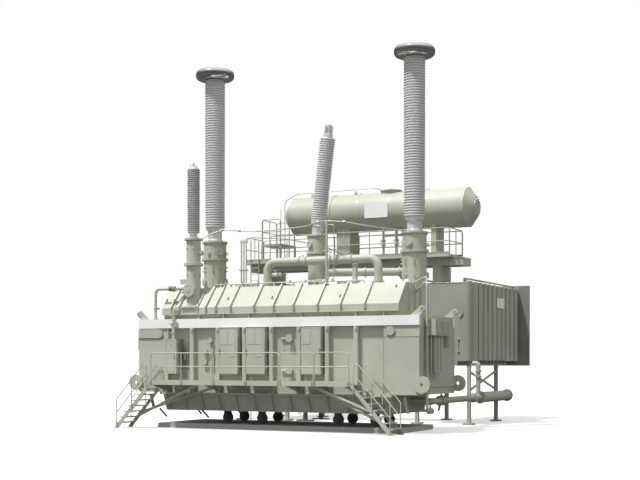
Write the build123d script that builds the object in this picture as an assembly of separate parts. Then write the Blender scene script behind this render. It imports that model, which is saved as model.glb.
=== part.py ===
from build123d import *
import os

os.makedirs("parts", exist_ok=True)

# Driving dimensions in millimetres. X runs along the tank, Y to the back, Z up from the ground.
PLINTH_INSET = 890
PLINTH_WIDTH = 3740
PLINTH_HEIGHT = 200

WHEEL_DIAMETER = 420
WHEEL_FLANGE = 25
WHEEL_WIDTH = 130
RAIL_GAUGE = 1435
WHEELBASE = 1650
BOGIE_CENTRES = (-1925, 3225)
FORK_PLATE = 40
FORK_HEADROOM = 95

TROUGH_INSET = 1190
TROUGH_DEPTH = 760
TROUGH_TOP_WIDTH = 3900
TROUGH_BOTTOM_WIDTH = 3300
TROUGH_RIB_PITCH = 830
TROUGH_RIB_DEPTH = 90
JACK_PAD_X = 920

TANK_LENGTH = 12780
TANK_WIDTH = 3600
TANK_HEIGHT = 3060
TANK_BELT = 380
END_PANEL = 1470
END_PANEL_JOINT = 440
STIFFENER_PITCH = 1250
STIFFENER_WIDTH = 200
STIFFENER_DEPTH = 200

LUG_RADIUS = 330
LUG_EYE = 70
LUG_THICKNESS = 80
LUG_RISE = 400
LIFT_EYE = 50
LIFT_EYE_REACH = 90

HOOD_INSET = 970
HOOD_WIDTH = 3340
HOOD_TOP_WIDTH = 1820
HOOD_GAP = 190
HOOD_SIDE = 290
HOOD_RISE = 860
HOOD_LIP = 40
HOOD_RIBS = (-4930, -3640, -3240, -2760, -2060, -940, -40, 870, 1950, 2960, 4010)
HOOD_GUSSET_PITCH = 1200
RIB_THICKNESS = 30

HV_INSET = 1610
HV_OFFSET = 1600
HV_TURRET_DIAMETER = 1000
HV_TURRET_HEIGHT = 2206
HV_NECK_DIAMETER = 590
HV_NECK_HEIGHT = 644
HV_SHED_DIAMETER = 890
HV_SHED_LENGTH = 6590
HV_SHED_DEPTH = 55
HV_SHEDS = 60
SHIELD_DIAMETER = 1700
SHIELD_HEIGHT = 440
SHIELD_RISE = 420

NEUTRAL_INSET = 2320
NEUTRAL_Y = -1320
NEUTRAL_TURRET_DIAMETER = 600
NEUTRAL_TURRET_HEIGHT = 2060
NEUTRAL_NECK_HEIGHT = 270
NEUTRAL_SHED_DIAMETER = 540
NEUTRAL_SHED_LENGTH = 2690
NEUTRAL_SHED_DEPTH = 45
NEUTRAL_SHEDS = 34

TERTIARY_X = 850
TERTIARY_Y = 500
TERTIARY_TURRET_DIAMETER = 770
TERTIARY_TURRET_HEIGHT = 2150
TERTIARY_SHED_DIAMETER = 650
TERTIARY_SHED_LENGTH = 3580
TERTIARY_TILT = 7
TERTIARY_SHED_DEPTH = 50
TERTIARY_SHEDS = 38

FRONT_PIPE_LEFT = -1070
FRONT_PIPE_RIGHT = 3990
FRONT_PIPE_Y = -300
FRONT_PIPE_DIAMETER = 350
FRONT_PIPE_RISE = 1030
BACK_PIPE_DIAMETER = 330
BACK_PIPE_RISE = 590

WALKWAY_WIDTH = 1100
WALKWAY_RISE = 400
WALKWAY_LEFT_INSET = 1290
WALKWAY_RIGHT_INSET = 2340
TOE_BOARD = 204
TOE_BOARD_LIFT = 130
RAIL_HEIGHT = 1100
RAIL_SECTIONS = (2, 2, 1, 1)
RAIL_BEND = 120
STAIR_RUN = 1730
STAIR_RISERS = 8
HANDRAIL_DIAMETER = 42

CABINET_WIDTH = 870
CABINET_DEPTH = 360
CABINET_HEIGHT = 1840
CABINET_RISE = 780
CABINET_LEFTS = (-2320, -1060, 1450)
CABINET_WALL = 12
DOOR_THICKNESS = 40
DOOR_GAP = 6
HINGE_REACH = 22
HINGE_PIN = 16
HINGE_CLEARANCE = 0.1
HINGE_KNUCKLE = 28
CONTROL_BOX_WIDTH = 550
CONTROL_BOX_HEIGHT = 1440

COOLER_INNER = 3200
COOLER_OUTER = 5870
COOLER_FRONT = 5500
COOLER_CASING = 400
COOLER_BACK = 12500
COOLER_BOTTOM = 2800
COOLER_HEIGHT = 3460
COOLER_BEAM = 200
COOLER_FRAME_LENGTH = 5050
COOLER_LEG = 160
COOLER_LEG_PITCH = 3800
RADIATORS = 10
RADIATOR_GAP = 60
BOTTOM_PIPE_DIAMETER = 260
BOTTOM_PIPE_LEVEL = 1210
HEADER_DIAMETER = 470
HEADER_LENGTH = 3900

CONSERVATOR_LEFT = -2900
CONSERVATOR_RIGHT = 5660
CONSERVATOR_Y = 5900
CONSERVATOR_RISE = 2080
CONSERVATOR_DIAMETER = 1740
CONSERVATOR_CONE = 350
TRESTLE_HEIGHT = 770
GIRDER_HEIGHT = 350
DECK_THICKNESS = 120
DECK_LEFT = -5250
DECK_RIGHT = 5050
DECK_FRONT = 5100
DECK_BACK = 6900
UPPER_RISE = 800
PLATFORM_RAIL = 1150

# Levels and planes worked out from the driving dimensions.
HALF_TANK = TANK_LENGTH / 2
WALL_Y = TANK_WIDTH / 2
FACE_Y = WALL_Y + STIFFENER_DEPTH
PANEL_Y = FACE_Y - 30
AXLE_LEVEL = PLINTH_HEIGHT + WHEEL_FLANGE + WHEEL_DIAMETER / 2
TROUGH_BOTTOM = AXLE_LEVEL + WHEEL_DIAMETER / 2 + FORK_HEADROOM
TROUGH_HALF = HALF_TANK - TROUGH_INSET
TANK_FLOOR = TROUGH_BOTTOM + TROUGH_DEPTH
TANK_TOP = TANK_FLOOR + TANK_HEIGHT
BELT_BOTTOM = TANK_TOP - TANK_BELT
LUG_LEVEL = TANK_FLOOR + LUG_RISE
HOOD_HALF = HALF_TANK - HOOD_INSET
HOOD_SIDE_BOTTOM = TANK_TOP + HOOD_GAP
HOOD_BEND = HOOD_SIDE_BOTTOM + HOOD_SIDE
HOOD_TOP = HOOD_BEND + HOOD_RISE
HV_X = HALF_TANK - HV_INSET
HV_TURRET_TOP = HOOD_TOP + HV_TURRET_HEIGHT
HV_SHED_BOTTOM = HV_TURRET_TOP + HV_NECK_HEIGHT
HV_SHED_TOP = HV_SHED_BOTTOM + HV_SHED_LENGTH
NEUTRAL_X = NEUTRAL_INSET - HALF_TANK
NEUTRAL_TURRET_TOP = HOOD_TOP + NEUTRAL_TURRET_HEIGHT
NEUTRAL_SHED_BOTTOM = NEUTRAL_TURRET_TOP + NEUTRAL_NECK_HEIGHT
NEUTRAL_SHED_TOP = NEUTRAL_SHED_BOTTOM + NEUTRAL_SHED_LENGTH
TERTIARY_TURRET_TOP = HOOD_TOP + TERTIARY_TURRET_HEIGHT
FRONT_PIPE_LEVEL = HOOD_TOP + FRONT_PIPE_RISE
WALKWAY_FRONT = -FACE_Y - WALKWAY_WIDTH
WALKWAY_DECK = TANK_FLOOR + WALKWAY_RISE
WALKWAY_LEFT = WALKWAY_LEFT_INSET - HALF_TANK
WALKWAY_RIGHT = HALF_TANK - WALKWAY_RIGHT_INSET
TOE_TOP = WALKWAY_DECK + TOE_BOARD_LIFT
TOE_BOTTOM = TOE_TOP - TOE_BOARD
STAIR_BACK = -FACE_Y - 100
CABINET_BOTTOM = TANK_FLOOR + CABINET_RISE
CABINET_TOP = CABINET_BOTTOM + CABINET_HEIGHT
CABINET_FRONT = -WALL_Y - CABINET_DEPTH + DOOR_THICKNESS
DOOR_FACE = CABINET_FRONT - DOOR_GAP - DOOR_THICKNESS
COOLER_TOP = COOLER_BOTTOM + COOLER_HEIGHT
PIPE_RUN_X = COOLER_OUTER + HEADER_DIAMETER / 2 + 45
DECK_LEVEL = COOLER_TOP + TRESTLE_HEIGHT + GIRDER_HEIGHT + DECK_THICKNESS
CONSERVATOR_Z = DECK_LEVEL + CONSERVATOR_RISE
UPPER_LEVEL = DECK_LEVEL + UPPER_RISE


def block(x0, x1, y0, y1, z0, z1):
    """A box between two corners, given as its limits along X, Y and Z."""
    size = (x1 - x0, y1 - y0, z1 - z0)
    return Pos((x0 + x1) / 2, (y0 + y1) / 2, (z0 + z1) / 2) * Box(*size)


def sided(side, near, far):
    """Limits, low first, of a span measured outwards on one side of the middle."""
    return sorted((side * near, side * far))


def rod(start, end, diameter):
    """A round bar between two points."""
    start = Vector(*start)
    along = Vector(*end) - start
    return Solid.make_cylinder(diameter / 2, along.length, Plane(origin=start, z_dir=along))


def bar(start, end, width, height):
    """A rectangular bar between two points, its height upright where it is level."""
    start = Vector(*start)
    along = Vector(*end) - start
    side = Vector(0, 0, 1).cross(along)
    plane = Plane(origin=start, x_dir=side, z_dir=along)
    return extrude(plane * Rectangle(width, height), along.length)


def bent_pipe(points, diameter, radius):
    """A pipe along straight runs with a rounded bend at each corner."""
    path = FilletPolyline(*points, radius=radius)
    return sweep((path ^ 0) * Circle(diameter / 2), path=path)


def flange(centre, direction, diameter, thickness):
    """A round flange centred on a point of a pipe's axis."""
    centre = Vector(*centre)
    direction = Vector(*direction).normalized()
    start = centre - direction * (thickness / 2)
    return Solid.make_cylinder(diameter / 2, thickness, Plane(origin=start, z_dir=direction))


def turned(profile):
    """A solid of revolution about Z from radius and height pairs."""
    outline = [(0, profile[0][1])] + list(profile) + [(0, profile[-1][1])]
    return revolve(Plane.XZ * make_face(Polyline(*outline, close=True)), Axis.Z)


def shed_profile(bottom, top, core, tip, sheds):
    """Radius and height pairs of an insulator's core with its drooping sheds."""
    pitch = (top - bottom) / sheds
    points = []
    for i in range(sheds):
        z = bottom + i * pitch
        points.append((core, z))
        points.append((tip, z + 0.15 * pitch))
        points.append((tip, z + 0.5 * pitch))
        points.append((core, z + 0.8 * pitch))
    points.append((core, top))
    return points


def save(name, *shapes):
    """Write one node, made of one or more solids, to its own file."""
    solids = [solid for shape in shapes for solid in shape.solids()]
    export_step(Compound(children=solids), f"parts/{name}.step")


# Plinth
def plinth():
    half = HALF_TANK - PLINTH_INSET
    slab = block(-half, half, -PLINTH_WIDTH / 2, PLINTH_WIDTH / 2, 0, PLINTH_HEIGHT)
    return chamfer(slab.faces().sort_by(Axis.Z)[-1].edges(), PLINTH_HEIGHT / 10)


# Rail wheels and the forks that carry them
def wheel_places():
    places = []
    for centre in BOGIE_CENTRES:
        for x in (centre - WHEELBASE / 2, centre + WHEELBASE / 2):
            for side in (-1, 1):
                places.append((x, side))
    return places


def rail_wheels():
    tread = WHEEL_DIAMETER / 2
    rim = tread + WHEEL_FLANGE
    face = WHEEL_WIDTH / 2
    hub = face + 20
    profile = [
        (60, -hub), (60, -face / 2), (tread - 50, -face / 2), (tread - 50, -face), (tread, -face), (tread, face - 25),
        (rim, face - 17), (rim, face), (tread - 50, face), (tread - 50, face / 2), (60, face / 2), (60, hub),
    ]
    wheels = []
    for x, side in wheel_places():
        wheels.append(Pos(x, side * RAIL_GAUGE / 2, AXLE_LEVEL) * (Rot(90 * side, 0, 0) * turned(profile)))
    return wheels


def bogie_frames():
    inner = WHEEL_WIDTH / 2 + 20
    outer = inner + FORK_PLATE
    half = WHEEL_DIAMETER / 2 - 20
    crown = TROUGH_BOTTOM - FORK_PLATE
    forks = []
    for x, side in wheel_places():
        fork = block(-half, half, -outer, outer, crown, TROUGH_BOTTOM)
        for cheek in (-1, 1):
            low, high = sided(cheek, inner, outer)
            fork += block(-half / 1.6, half / 1.6, low, high, AXLE_LEVEL, crown)
            fork += rod((0, cheek * inner, AXLE_LEVEL), (0, cheek * outer, AXLE_LEVEL), half * 1.25)
            fork += rod((0, cheek * outer, AXLE_LEVEL), (0, cheek * (outer + 35), AXLE_LEVEL), half * 0.6)
        forks.append(Pos(x, side * RAIL_GAUGE / 2, 0) * fork)
    return forks


# Tank
def tank_trough():
    bottom = Rectangle(2 * TROUGH_HALF, TROUGH_BOTTOM_WIDTH)
    top = Rectangle(2 * TROUGH_HALF, TROUGH_TOP_WIDTH)
    body = loft([Pos(0, 0, TROUGH_BOTTOM) * bottom, Pos(0, 0, TANK_FLOOR) * top])
    low = TROUGH_BOTTOM_WIDTH / 2
    high = TROUGH_TOP_WIDTH / 2 + TROUGH_RIB_DEPTH
    outline = [(-low, TROUGH_BOTTOM), (low, TROUGH_BOTTOM), (low + TROUGH_RIB_DEPTH / 2, TROUGH_BOTTOM + 60),
               (high, TANK_FLOOR), (-high, TANK_FLOOR), (-low - TROUGH_RIB_DEPTH / 2, TROUGH_BOTTOM + 60)]
    rib = extrude(Plane.YZ * make_face(Polyline(*outline, close=True)), RIB_THICKNESS / 2, both=True)
    count = int((TROUGH_HALF - RIB_THICKNESS) // TROUGH_RIB_PITCH)
    for i in range(-count, count + 1):
        body += Pos(i * TROUGH_RIB_PITCH, 0, 0) * rib
    rim = TROUGH_HALF + TROUGH_RIB_DEPTH
    body += block(-rim, rim, -high - 10, high + 10, TANK_FLOOR - 90, TANK_FLOOR)
    foot = low + 40
    body += block(-TROUGH_HALF, TROUGH_HALF, -foot, foot, TROUGH_BOTTOM, TROUGH_BOTTOM + 30)
    post = 70
    pad_level = PLINTH_HEIGHT + 160
    for side in (-1, 1):
        y = side * RAIL_GAUGE / 2
        body += block(JACK_PAD_X - post, JACK_PAD_X + post, y - post, y + post, pad_level, TROUGH_BOTTOM)
        body += block(JACK_PAD_X - 5 * post, JACK_PAD_X + 5 * post, y - 2 * post, y + 2 * post, pad_level, pad_level + 45)
    return body


def tank_main():
    body = block(-HALF_TANK, HALF_TANK, -WALL_Y, WALL_Y, TANK_FLOOR, TANK_TOP)
    joint = BELT_BOTTOM - END_PANEL_JOINT
    beam = LUG_RADIUS / 3
    for side in (-1, 1):
        x0, x1 = sided(side, HALF_TANK - END_PANEL, HALF_TANK)
        body += block(x0, x1, -PANEL_Y, PANEL_Y, TANK_FLOOR, joint)
        body += block(x0, x1, -PANEL_Y + 25, PANEL_Y - 25, joint, BELT_BOTTOM)
        x0, x1 = sided(side, HALF_TANK, HALF_TANK + 50)
        body += block(x0, x1, -PANEL_Y, PANEL_Y, LUG_LEVEL - beam, LUG_LEVEL + beam)
    return body


def tank_stiffeners():
    stiffeners = []
    half = STIFFENER_WIDTH / 2
    count = int((HALF_TANK - END_PANEL - half) // STIFFENER_PITCH)
    for side in (-1, 1):
        low, high = sided(side, WALL_Y, FACE_Y)
        for i in range(-count, count + 1):
            x = i * STIFFENER_PITCH
            stiffener = block(x - half, x + half, low, high, TANK_FLOOR, BELT_BOTTOM)
            outer = stiffener.faces().sort_by(Axis.Y)[0 if side < 0 else -1]
            stiffeners.append(chamfer(outer.edges().filter_by(Axis.Z), half / 4))
    return stiffeners


def tank_belt():
    belts = []
    for side in (-1, 1):
        low, high = sided(side, WALL_Y, FACE_Y)
        belts.append(block(-HALF_TANK, HALF_TANK, low, high, BELT_BOTTOM, TANK_TOP))
    return belts


def haulage_lugs():
    lugs = []
    reach = HALF_TANK + LUG_EYE + 60
    for x in (-reach, reach):
        for side in (-1, 1):
            low, high = sided(side, PANEL_Y, PANEL_Y + LUG_THICKNESS)
            plate = rod((x, low, LUG_LEVEL), (x, high, LUG_LEVEL), 2 * LUG_RADIUS)
            lugs.append(plate - rod((x, low - 1, LUG_LEVEL), (x, high + 1, LUG_LEVEL), 2 * LUG_EYE))
    return lugs


def lifting_lugs():
    lugs = []
    end = HALF_TANK
    outline = [(end - 420, TANK_TOP), (end, TANK_TOP), (end + 190, TANK_TOP + 180), (end + 190, TANK_TOP + 300),
               (end + 20, TANK_TOP + 380)]
    eye_level = TANK_TOP + 230
    for side in (-1, 1):
        face = Plane.XZ * make_face(Polyline(*[(side * x, z) for x, z in outline], close=True))
        eye = side * (end + LIFT_EYE_REACH)
        for y in (-WALL_Y, WALL_Y):
            plate = Pos(0, y, 0) * extrude(face, 35, both=True)
            plate += rod((eye, y - 50, eye_level), (eye, y + 50, eye_level), 3.4 * LIFT_EYE)
            lugs.append(plate - rod((eye, y - 60, eye_level), (eye, y + 60, eye_level), 2 * LIFT_EYE))
    return lugs


# Hood
def hood():
    side = HOOD_WIDTH / 2
    top = HOOD_TOP_WIDTH / 2
    base = side - 150
    lip = side + 50
    lip_top = HOOD_SIDE_BOTTOM + HOOD_LIP
    half_outline = [
        (base, TANK_TOP), (base, HOOD_SIDE_BOTTOM), (lip, HOOD_SIDE_BOTTOM), (lip, lip_top), (side, lip_top),
        (side, HOOD_BEND), (top, HOOD_TOP),
    ]
    outline = half_outline + [(-y, z) for y, z in reversed(half_outline)]
    face = Plane.YZ * make_face(Polyline(*outline, close=True))
    body = Pos(-HOOD_HALF, 0, 0) * extrude(face, 2 * HOOD_HALF)
    count = int((HOOD_HALF - RIB_THICKNESS) // HOOD_GUSSET_PITCH)
    for i in range(-count, count + 1):
        x = i * HOOD_GUSSET_PITCH
        body += block(x - 15, x + 15, -side, side, TANK_TOP, HOOD_SIDE_BOTTOM)
    return body


def hood_ribs():
    side = HOOD_WIDTH / 2
    top = HOOD_TOP_WIDTH / 2
    bottom = HOOD_SIDE_BOTTOM + HOOD_LIP
    outline = [
        (side, bottom), (side + 70, bottom), (side + 70, HOOD_BEND + 30), (top + 30, HOOD_TOP + 50),
        (top - 60, HOOD_TOP + 50), (top - 60, HOOD_TOP), (top, HOOD_TOP), (side, HOOD_BEND),
    ]
    blocked = tertiary_turret() + neutral_turret() + hv_turret(-1) + hv_turret(1)
    ribs = []
    for mirror_side in (-1, 1):
        points = [(mirror_side * y, z) for y, z in outline]
        face = Plane.YZ * make_face(Polyline(*points, close=True))
        for x in HOOD_RIBS:
            ribs.append(Pos(x, 0, 0) * extrude(face, RIB_THICKNESS / 2, both=True) - blocked)
        for y in (-top * 2 / 3, 0, top * 2 / 3):
            x0, x1 = sided(mirror_side, HOOD_HALF, HOOD_HALF + 60)
            ribs.append(block(x0, x1, y - RIB_THICKNESS / 2, y + RIB_THICKNESS / 2, bottom, HOOD_TOP - 40))
    return ribs


# Bushings and their turrets
def port_covers(radius, level, angles, diameter, reach):
    """Round covers on short necks that stand out from a turret about Z."""
    covers = Part()
    for angle in angles:
        neck = rod((radius * 0.8, 0, level), (radius + reach - 30, 0, level), diameter * 0.85)
        neck += flange((radius + reach - 15, 0, level), (1, 0, 0), diameter, 30)
        covers += Rot(0, 0, angle) * neck
    return covers


def hv_turret(side):
    radius = HV_TURRET_DIAMETER / 2
    middle = HV_TURRET_TOP - 786
    profile = [
        (radius, HOOD_BEND - 90), (radius, middle - 50), (radius + 85, middle - 50), (radius + 85, middle + 50),
        (radius, middle + 50), (radius, HV_TURRET_TOP - 60), (radius + 60, HV_TURRET_TOP - 60),
        (radius + 60, HV_TURRET_TOP),
    ]
    turret = turned(profile)
    turret += port_covers(radius, HOOD_TOP + 420, range(2, 362, 60), 260, 90)
    upper = -38 if side < 0 else -95
    turret += port_covers(radius, middle + 330, (upper, upper + 180), 320, 80)
    turret += Pos(0, 0, HOOD_TOP) * Cylinder(radius + 45, 120)
    return Pos(side * HV_X, HV_OFFSET, 0) * turret - hood()


def hv_bushing(side):
    neck = HV_NECK_DIAMETER / 2
    core = HV_SHED_DIAMETER / 2 - HV_SHED_DEPTH
    profile = [
        (neck + 90, HV_TURRET_TOP), (neck + 90, HV_TURRET_TOP + 50), (neck, HV_TURRET_TOP + 50),
        (neck, HV_SHED_BOTTOM - 160), (neck + 70, HV_SHED_BOTTOM - 80),
    ]
    profile += shed_profile(HV_SHED_BOTTOM, HV_SHED_TOP, core, HV_SHED_DIAMETER / 2, HV_SHEDS)
    return Pos(side * HV_X, HV_OFFSET, 0) * turned(profile)


def corona_shield(side):
    top = HV_SHED_TOP + SHIELD_RISE
    bottom = top - SHIELD_HEIGHT
    shield = Pos(0, 0, (bottom + top) / 2) * Cylinder(SHIELD_DIAMETER / 2, SHIELD_HEIGHT)
    shield = fillet(shield.edges(), SHIELD_HEIGHT * 0.42)
    well = Pos(0, 0, (bottom + HV_SHED_TOP) / 2) * Cylinder(HV_SHED_DIAMETER / 2 + 20, HV_SHED_TOP - bottom)
    return Pos(side * HV_X, HV_OFFSET, 0) * (shield - well)


def neutral_turret():
    radius = NEUTRAL_TURRET_DIAMETER / 2
    middle = NEUTRAL_TURRET_TOP - 1095
    profile = [
        (radius, HOOD_BEND - 90), (radius, middle - 45), (radius + 100, middle - 45), (radius + 100, middle + 45),
        (radius, middle + 45), (radius, NEUTRAL_TURRET_TOP - 60), (radius + 90, NEUTRAL_TURRET_TOP - 60),
        (radius + 90, NEUTRAL_TURRET_TOP),
    ]
    turret = turned(profile)
    turret += port_covers(radius, HOOD_TOP - 130, (-90,), 540, 120)
    turret += port_covers(radius, middle + 485, (0,), 220, 130)
    box_reach = radius + 300
    turret += block(-box_reach, 0, -100, 100, HOOD_TOP + 160, HOOD_TOP + 360)
    ledge = radius + 80
    turret += block(-ledge, ledge, -radius - 130, 0, HOOD_BEND, HOOD_BEND + 60)
    return Pos(NEUTRAL_X, NEUTRAL_Y, 0) * turret - hood()


def neutral_bushing():
    tip = NEUTRAL_SHED_DIAMETER / 2
    neck = tip * 0.6
    cap = NEUTRAL_SHED_TOP + 70
    profile = [
        (tip - 30, NEUTRAL_TURRET_TOP), (tip - 30, NEUTRAL_TURRET_TOP + 50), (neck, NEUTRAL_TURRET_TOP + 50),
        (neck, NEUTRAL_SHED_BOTTOM - 60), (tip - 50, NEUTRAL_SHED_BOTTOM - 30),
    ]
    core = tip - NEUTRAL_SHED_DEPTH
    profile += shed_profile(NEUTRAL_SHED_BOTTOM, NEUTRAL_SHED_TOP, core, tip, NEUTRAL_SHEDS)
    profile += [(neck, NEUTRAL_SHED_TOP), (neck, cap), (neck / 4, cap), (neck / 4, cap + 180)]
    return Pos(NEUTRAL_X, NEUTRAL_Y, 0) * turned(profile)


def tertiary_turret():
    radius = TERTIARY_TURRET_DIAMETER / 2
    profile = [
        (radius + 60, HOOD_TOP), (radius + 60, HOOD_TOP + 60), (radius, HOOD_TOP + 60),
        (radius, TERTIARY_TURRET_TOP - 800), (radius + 60, TERTIARY_TURRET_TOP - 800),
        (radius + 60, TERTIARY_TURRET_TOP - 720), (radius, TERTIARY_TURRET_TOP - 720),
        (radius, TERTIARY_TURRET_TOP - 60), (radius + 50, TERTIARY_TURRET_TOP - 60),
        (radius + 50, TERTIARY_TURRET_TOP),
    ]
    turret = turned(profile) + port_covers(radius, TERTIARY_TURRET_TOP - 400, (-110, 70), 260, 90)
    return Pos(TERTIARY_X, TERTIARY_Y, 0) * turret


def tertiary_bushing():
    tip = TERTIARY_SHED_DIAMETER / 2
    neck = tip - 105
    start = 490
    end = start + TERTIARY_SHED_LENGTH
    profile = [(neck, 40), (neck, start - 120), (neck + 60, start - 60)]
    profile += shed_profile(start, end, tip - TERTIARY_SHED_DEPTH, tip, TERTIARY_SHEDS)
    profile += [(neck - 20, end), (neck - 20, end + 120), (neck / 2, end + 160), (neck / 2, end + 540)]
    tilted = Rot(0, TERTIARY_TILT, 0) * turned(profile)
    foot = Cylinder(neck + 60, 60, align=(Align.CENTER, Align.CENTER, Align.MIN))
    return Pos(TERTIARY_X, TERTIARY_Y, TERTIARY_TURRET_TOP) * (foot + tilted)


# Oil pipes above the tank
def top_oil_pipes():
    y = FRONT_PIPE_Y
    corners = [(FRONT_PIPE_LEFT, y, HOOD_TOP), (FRONT_PIPE_LEFT, y, FRONT_PIPE_LEVEL),
               (FRONT_PIPE_RIGHT, y, FRONT_PIPE_LEVEL), (FRONT_PIPE_RIGHT, y, HOOD_TOP)]
    front = bent_pipe(corners, FRONT_PIPE_DIAMETER, FRONT_PIPE_DIAMETER + 50)
    for x in (FRONT_PIPE_LEFT, FRONT_PIPE_RIGHT):
        front += flange((x, y, HOOD_TOP + 30), (0, 0, 1), FRONT_PIPE_DIAMETER + 170, 60)
        front += flange((x, y, HOOD_TOP + 110), (0, 0, 1), FRONT_PIPE_DIAMETER + 90, 40)
    for share in (0.3, 0.36, 0.635, 0.77):
        x = FRONT_PIPE_LEFT + share * (FRONT_PIPE_RIGHT - FRONT_PIPE_LEFT)
        front += flange((x, y, FRONT_PIPE_LEVEL), (1, 0, 0), FRONT_PIPE_DIAMETER + 80, 50)
    post = FRONT_PIPE_LEFT + 0.795 * (FRONT_PIPE_RIGHT - FRONT_PIPE_LEFT)
    front += block(post - 80, post + 80, y - 80, y + 80, HOOD_TOP, FRONT_PIPE_LEVEL)
    branch = HOOD_TOP + 500
    front += rod((FRONT_PIPE_LEFT, y, branch), (FRONT_PIPE_LEFT + 700, y, branch), 90)
    for reach in (300, 480, 620):
        front += flange((FRONT_PIPE_LEFT + reach, y, branch), (1, 0, 0), 200, 50)
    level = HOOD_TOP + BACK_PIPE_RISE
    start = Vector(TERTIARY_X, TERTIARY_Y, level)
    end = Vector(HV_X, HV_OFFSET, level)
    along = (end - start).normalized()
    back = rod(tuple(start), tuple(end), BACK_PIPE_DIAMETER)
    back += flange(tuple(start + along * (TERTIARY_TURRET_DIAMETER / 2 + 90)), tuple(along), BACK_PIPE_DIAMETER + 100, 50)
    back += flange(tuple(end - along * (HV_TURRET_DIAMETER / 2 + 120)), tuple(along), BACK_PIPE_DIAMETER + 100, 50)
    back += flange(tuple((start + end) * 0.5), tuple(along), BACK_PIPE_DIAMETER + 80, 50)
    back -= tertiary_turret()
    back -= hv_turret(1)
    return [front, back.solids().sort_by(SortBy.VOLUME)[-1]]


# Oil pipes, conduits and cable duct beside the bushings
def side_pipe():
    x = 660 - HALF_TANK
    y = 100 - WALL_Y
    level = HOOD_TOP - 50
    pipe = bent_pipe([(x, y, TANK_TOP), (x, y, level), (x + 970, y, level)], 115, 200)
    pipe += flange((x, y, TANK_TOP + 15), (0, 0, 1), 230, 30)
    pipe += flange((x, y, HOOD_BEND), (0, 0, 1), 180, 50)
    pipe += rod((x + 970, y, level), (x + 1170, y + 300, level), 115)
    for reach in (880, 960):
        pipe += flange((x + reach, y, level), (1, 0, 0), 230, 30)
    return pipe


def riser_conduits():
    y = 600
    xs = (-2850, -2730, -2610)
    poles = Part()
    for x in xs:
        poles += rod((x, y, HOOD_TOP), (x, y, HV_TURRET_TOP - 66), 60)
    for level in (HOOD_TOP + 820, HV_TURRET_TOP - 166):
        poles += block(xs[0] - 60, xs[-1] + 60, y - 40, y + 40, level - 30, level + 30)
    x = CONTROL_BOX_WIDTH / 2 + 50 - HALF_TANK + END_PANEL
    side = HOOD_WIDTH / 2
    top = HOOD_TOP_WIDTH / 2
    front = FACE_Y + 100
    bend = HOOD_SIDE_BOTTOM + HOOD_LIP + 10
    duct = block(x - 60, x + 60, -front, -FACE_Y, CABINET_BOTTOM + CONTROL_BOX_HEIGHT, bend)
    duct += block(x - 60, x + 60, -front, -side, bend, bend + 140)
    slope = extrude(
        Plane.YZ * make_face(Polyline((-side, bend), (-side - 100, bend), (-side - 100, HOOD_BEND + 40),
                                      (-top - 60, HOOD_TOP + 80), (-top, HOOD_TOP), (-side, HOOD_BEND), close=True)),
        60, both=True)
    return [poles, duct + Pos(x, 0, 0) * slope]


# Walkway, its railing, stays and stairs
def walkway_deck():
    under = WALKWAY_DECK - 40
    deck = block(WALKWAY_LEFT, WALKWAY_RIGHT, WALKWAY_FRONT, -FACE_Y, under, WALKWAY_DECK)
    deck += block(WALKWAY_LEFT, WALKWAY_RIGHT, WALKWAY_FRONT, WALKWAY_FRONT + 12, TOE_BOTTOM, TOE_TOP)
    deck += block(WALKWAY_LEFT, WALKWAY_RIGHT, -FACE_Y - 12, -FACE_Y, TOE_BOTTOM, WALKWAY_DECK)
    outline = [(-FACE_Y, under), (WALKWAY_FRONT + 12, under), (WALKWAY_FRONT + 12, TOE_BOTTOM),
               (-FACE_Y, TANK_FLOOR + 60)]
    bracket = extrude(Plane.YZ * make_face(Polyline(*outline, close=True)), RIB_THICKNESS / 2, both=True)
    first = -int(-WALKWAY_LEFT // STIFFENER_PITCH)
    last = int(WALKWAY_RIGHT // STIFFENER_PITCH)
    for i in range(first, last + 1):
        deck += Pos(i * STIFFENER_PITCH, 0, 0) * bracket
    return deck


def rail_frame(corners, middle, posts, foot):
    """A rail bent down at both ends, with a middle rail and upright posts between two corners."""
    start, end = Vector(*corners[0]), Vector(*corners[1])
    drop = Vector(0, 0, foot)
    frame = bent_pipe([start - drop, start, end, end - drop], HANDRAIL_DIAMETER, RAIL_BEND)
    lower = Vector(0, 0, middle)
    frame += rod(start - lower, end - lower, HANDRAIL_DIAMETER)
    for i in range(1, posts + 1):
        top = start + (end - start) * (i / (posts + 1))
        frame += rod(top - drop, top, HANDRAIL_DIAMETER)
    return frame


def walkway_railing():
    y = WALKWAY_FRONT - HANDRAIL_DIAMETER / 2
    top = TOE_TOP + RAIL_HEIGHT
    bay = (WALKWAY_RIGHT - WALKWAY_LEFT - 100) / sum(RAIL_SECTIONS)
    x = WALKWAY_LEFT + 50
    sections = []
    for bays in RAIL_SECTIONS:
        corners = ((x + 30, y, top), (x + bays * bay - 30, y, top))
        sections.append(rail_frame(corners, RAIL_HEIGHT / 2, bays - 1, top - TOE_BOTTOM))
        x += bays * bay
    return sections


def stair_head(side):
    return WALKWAY_RIGHT if side > 0 else WALKWAY_LEFT


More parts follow.
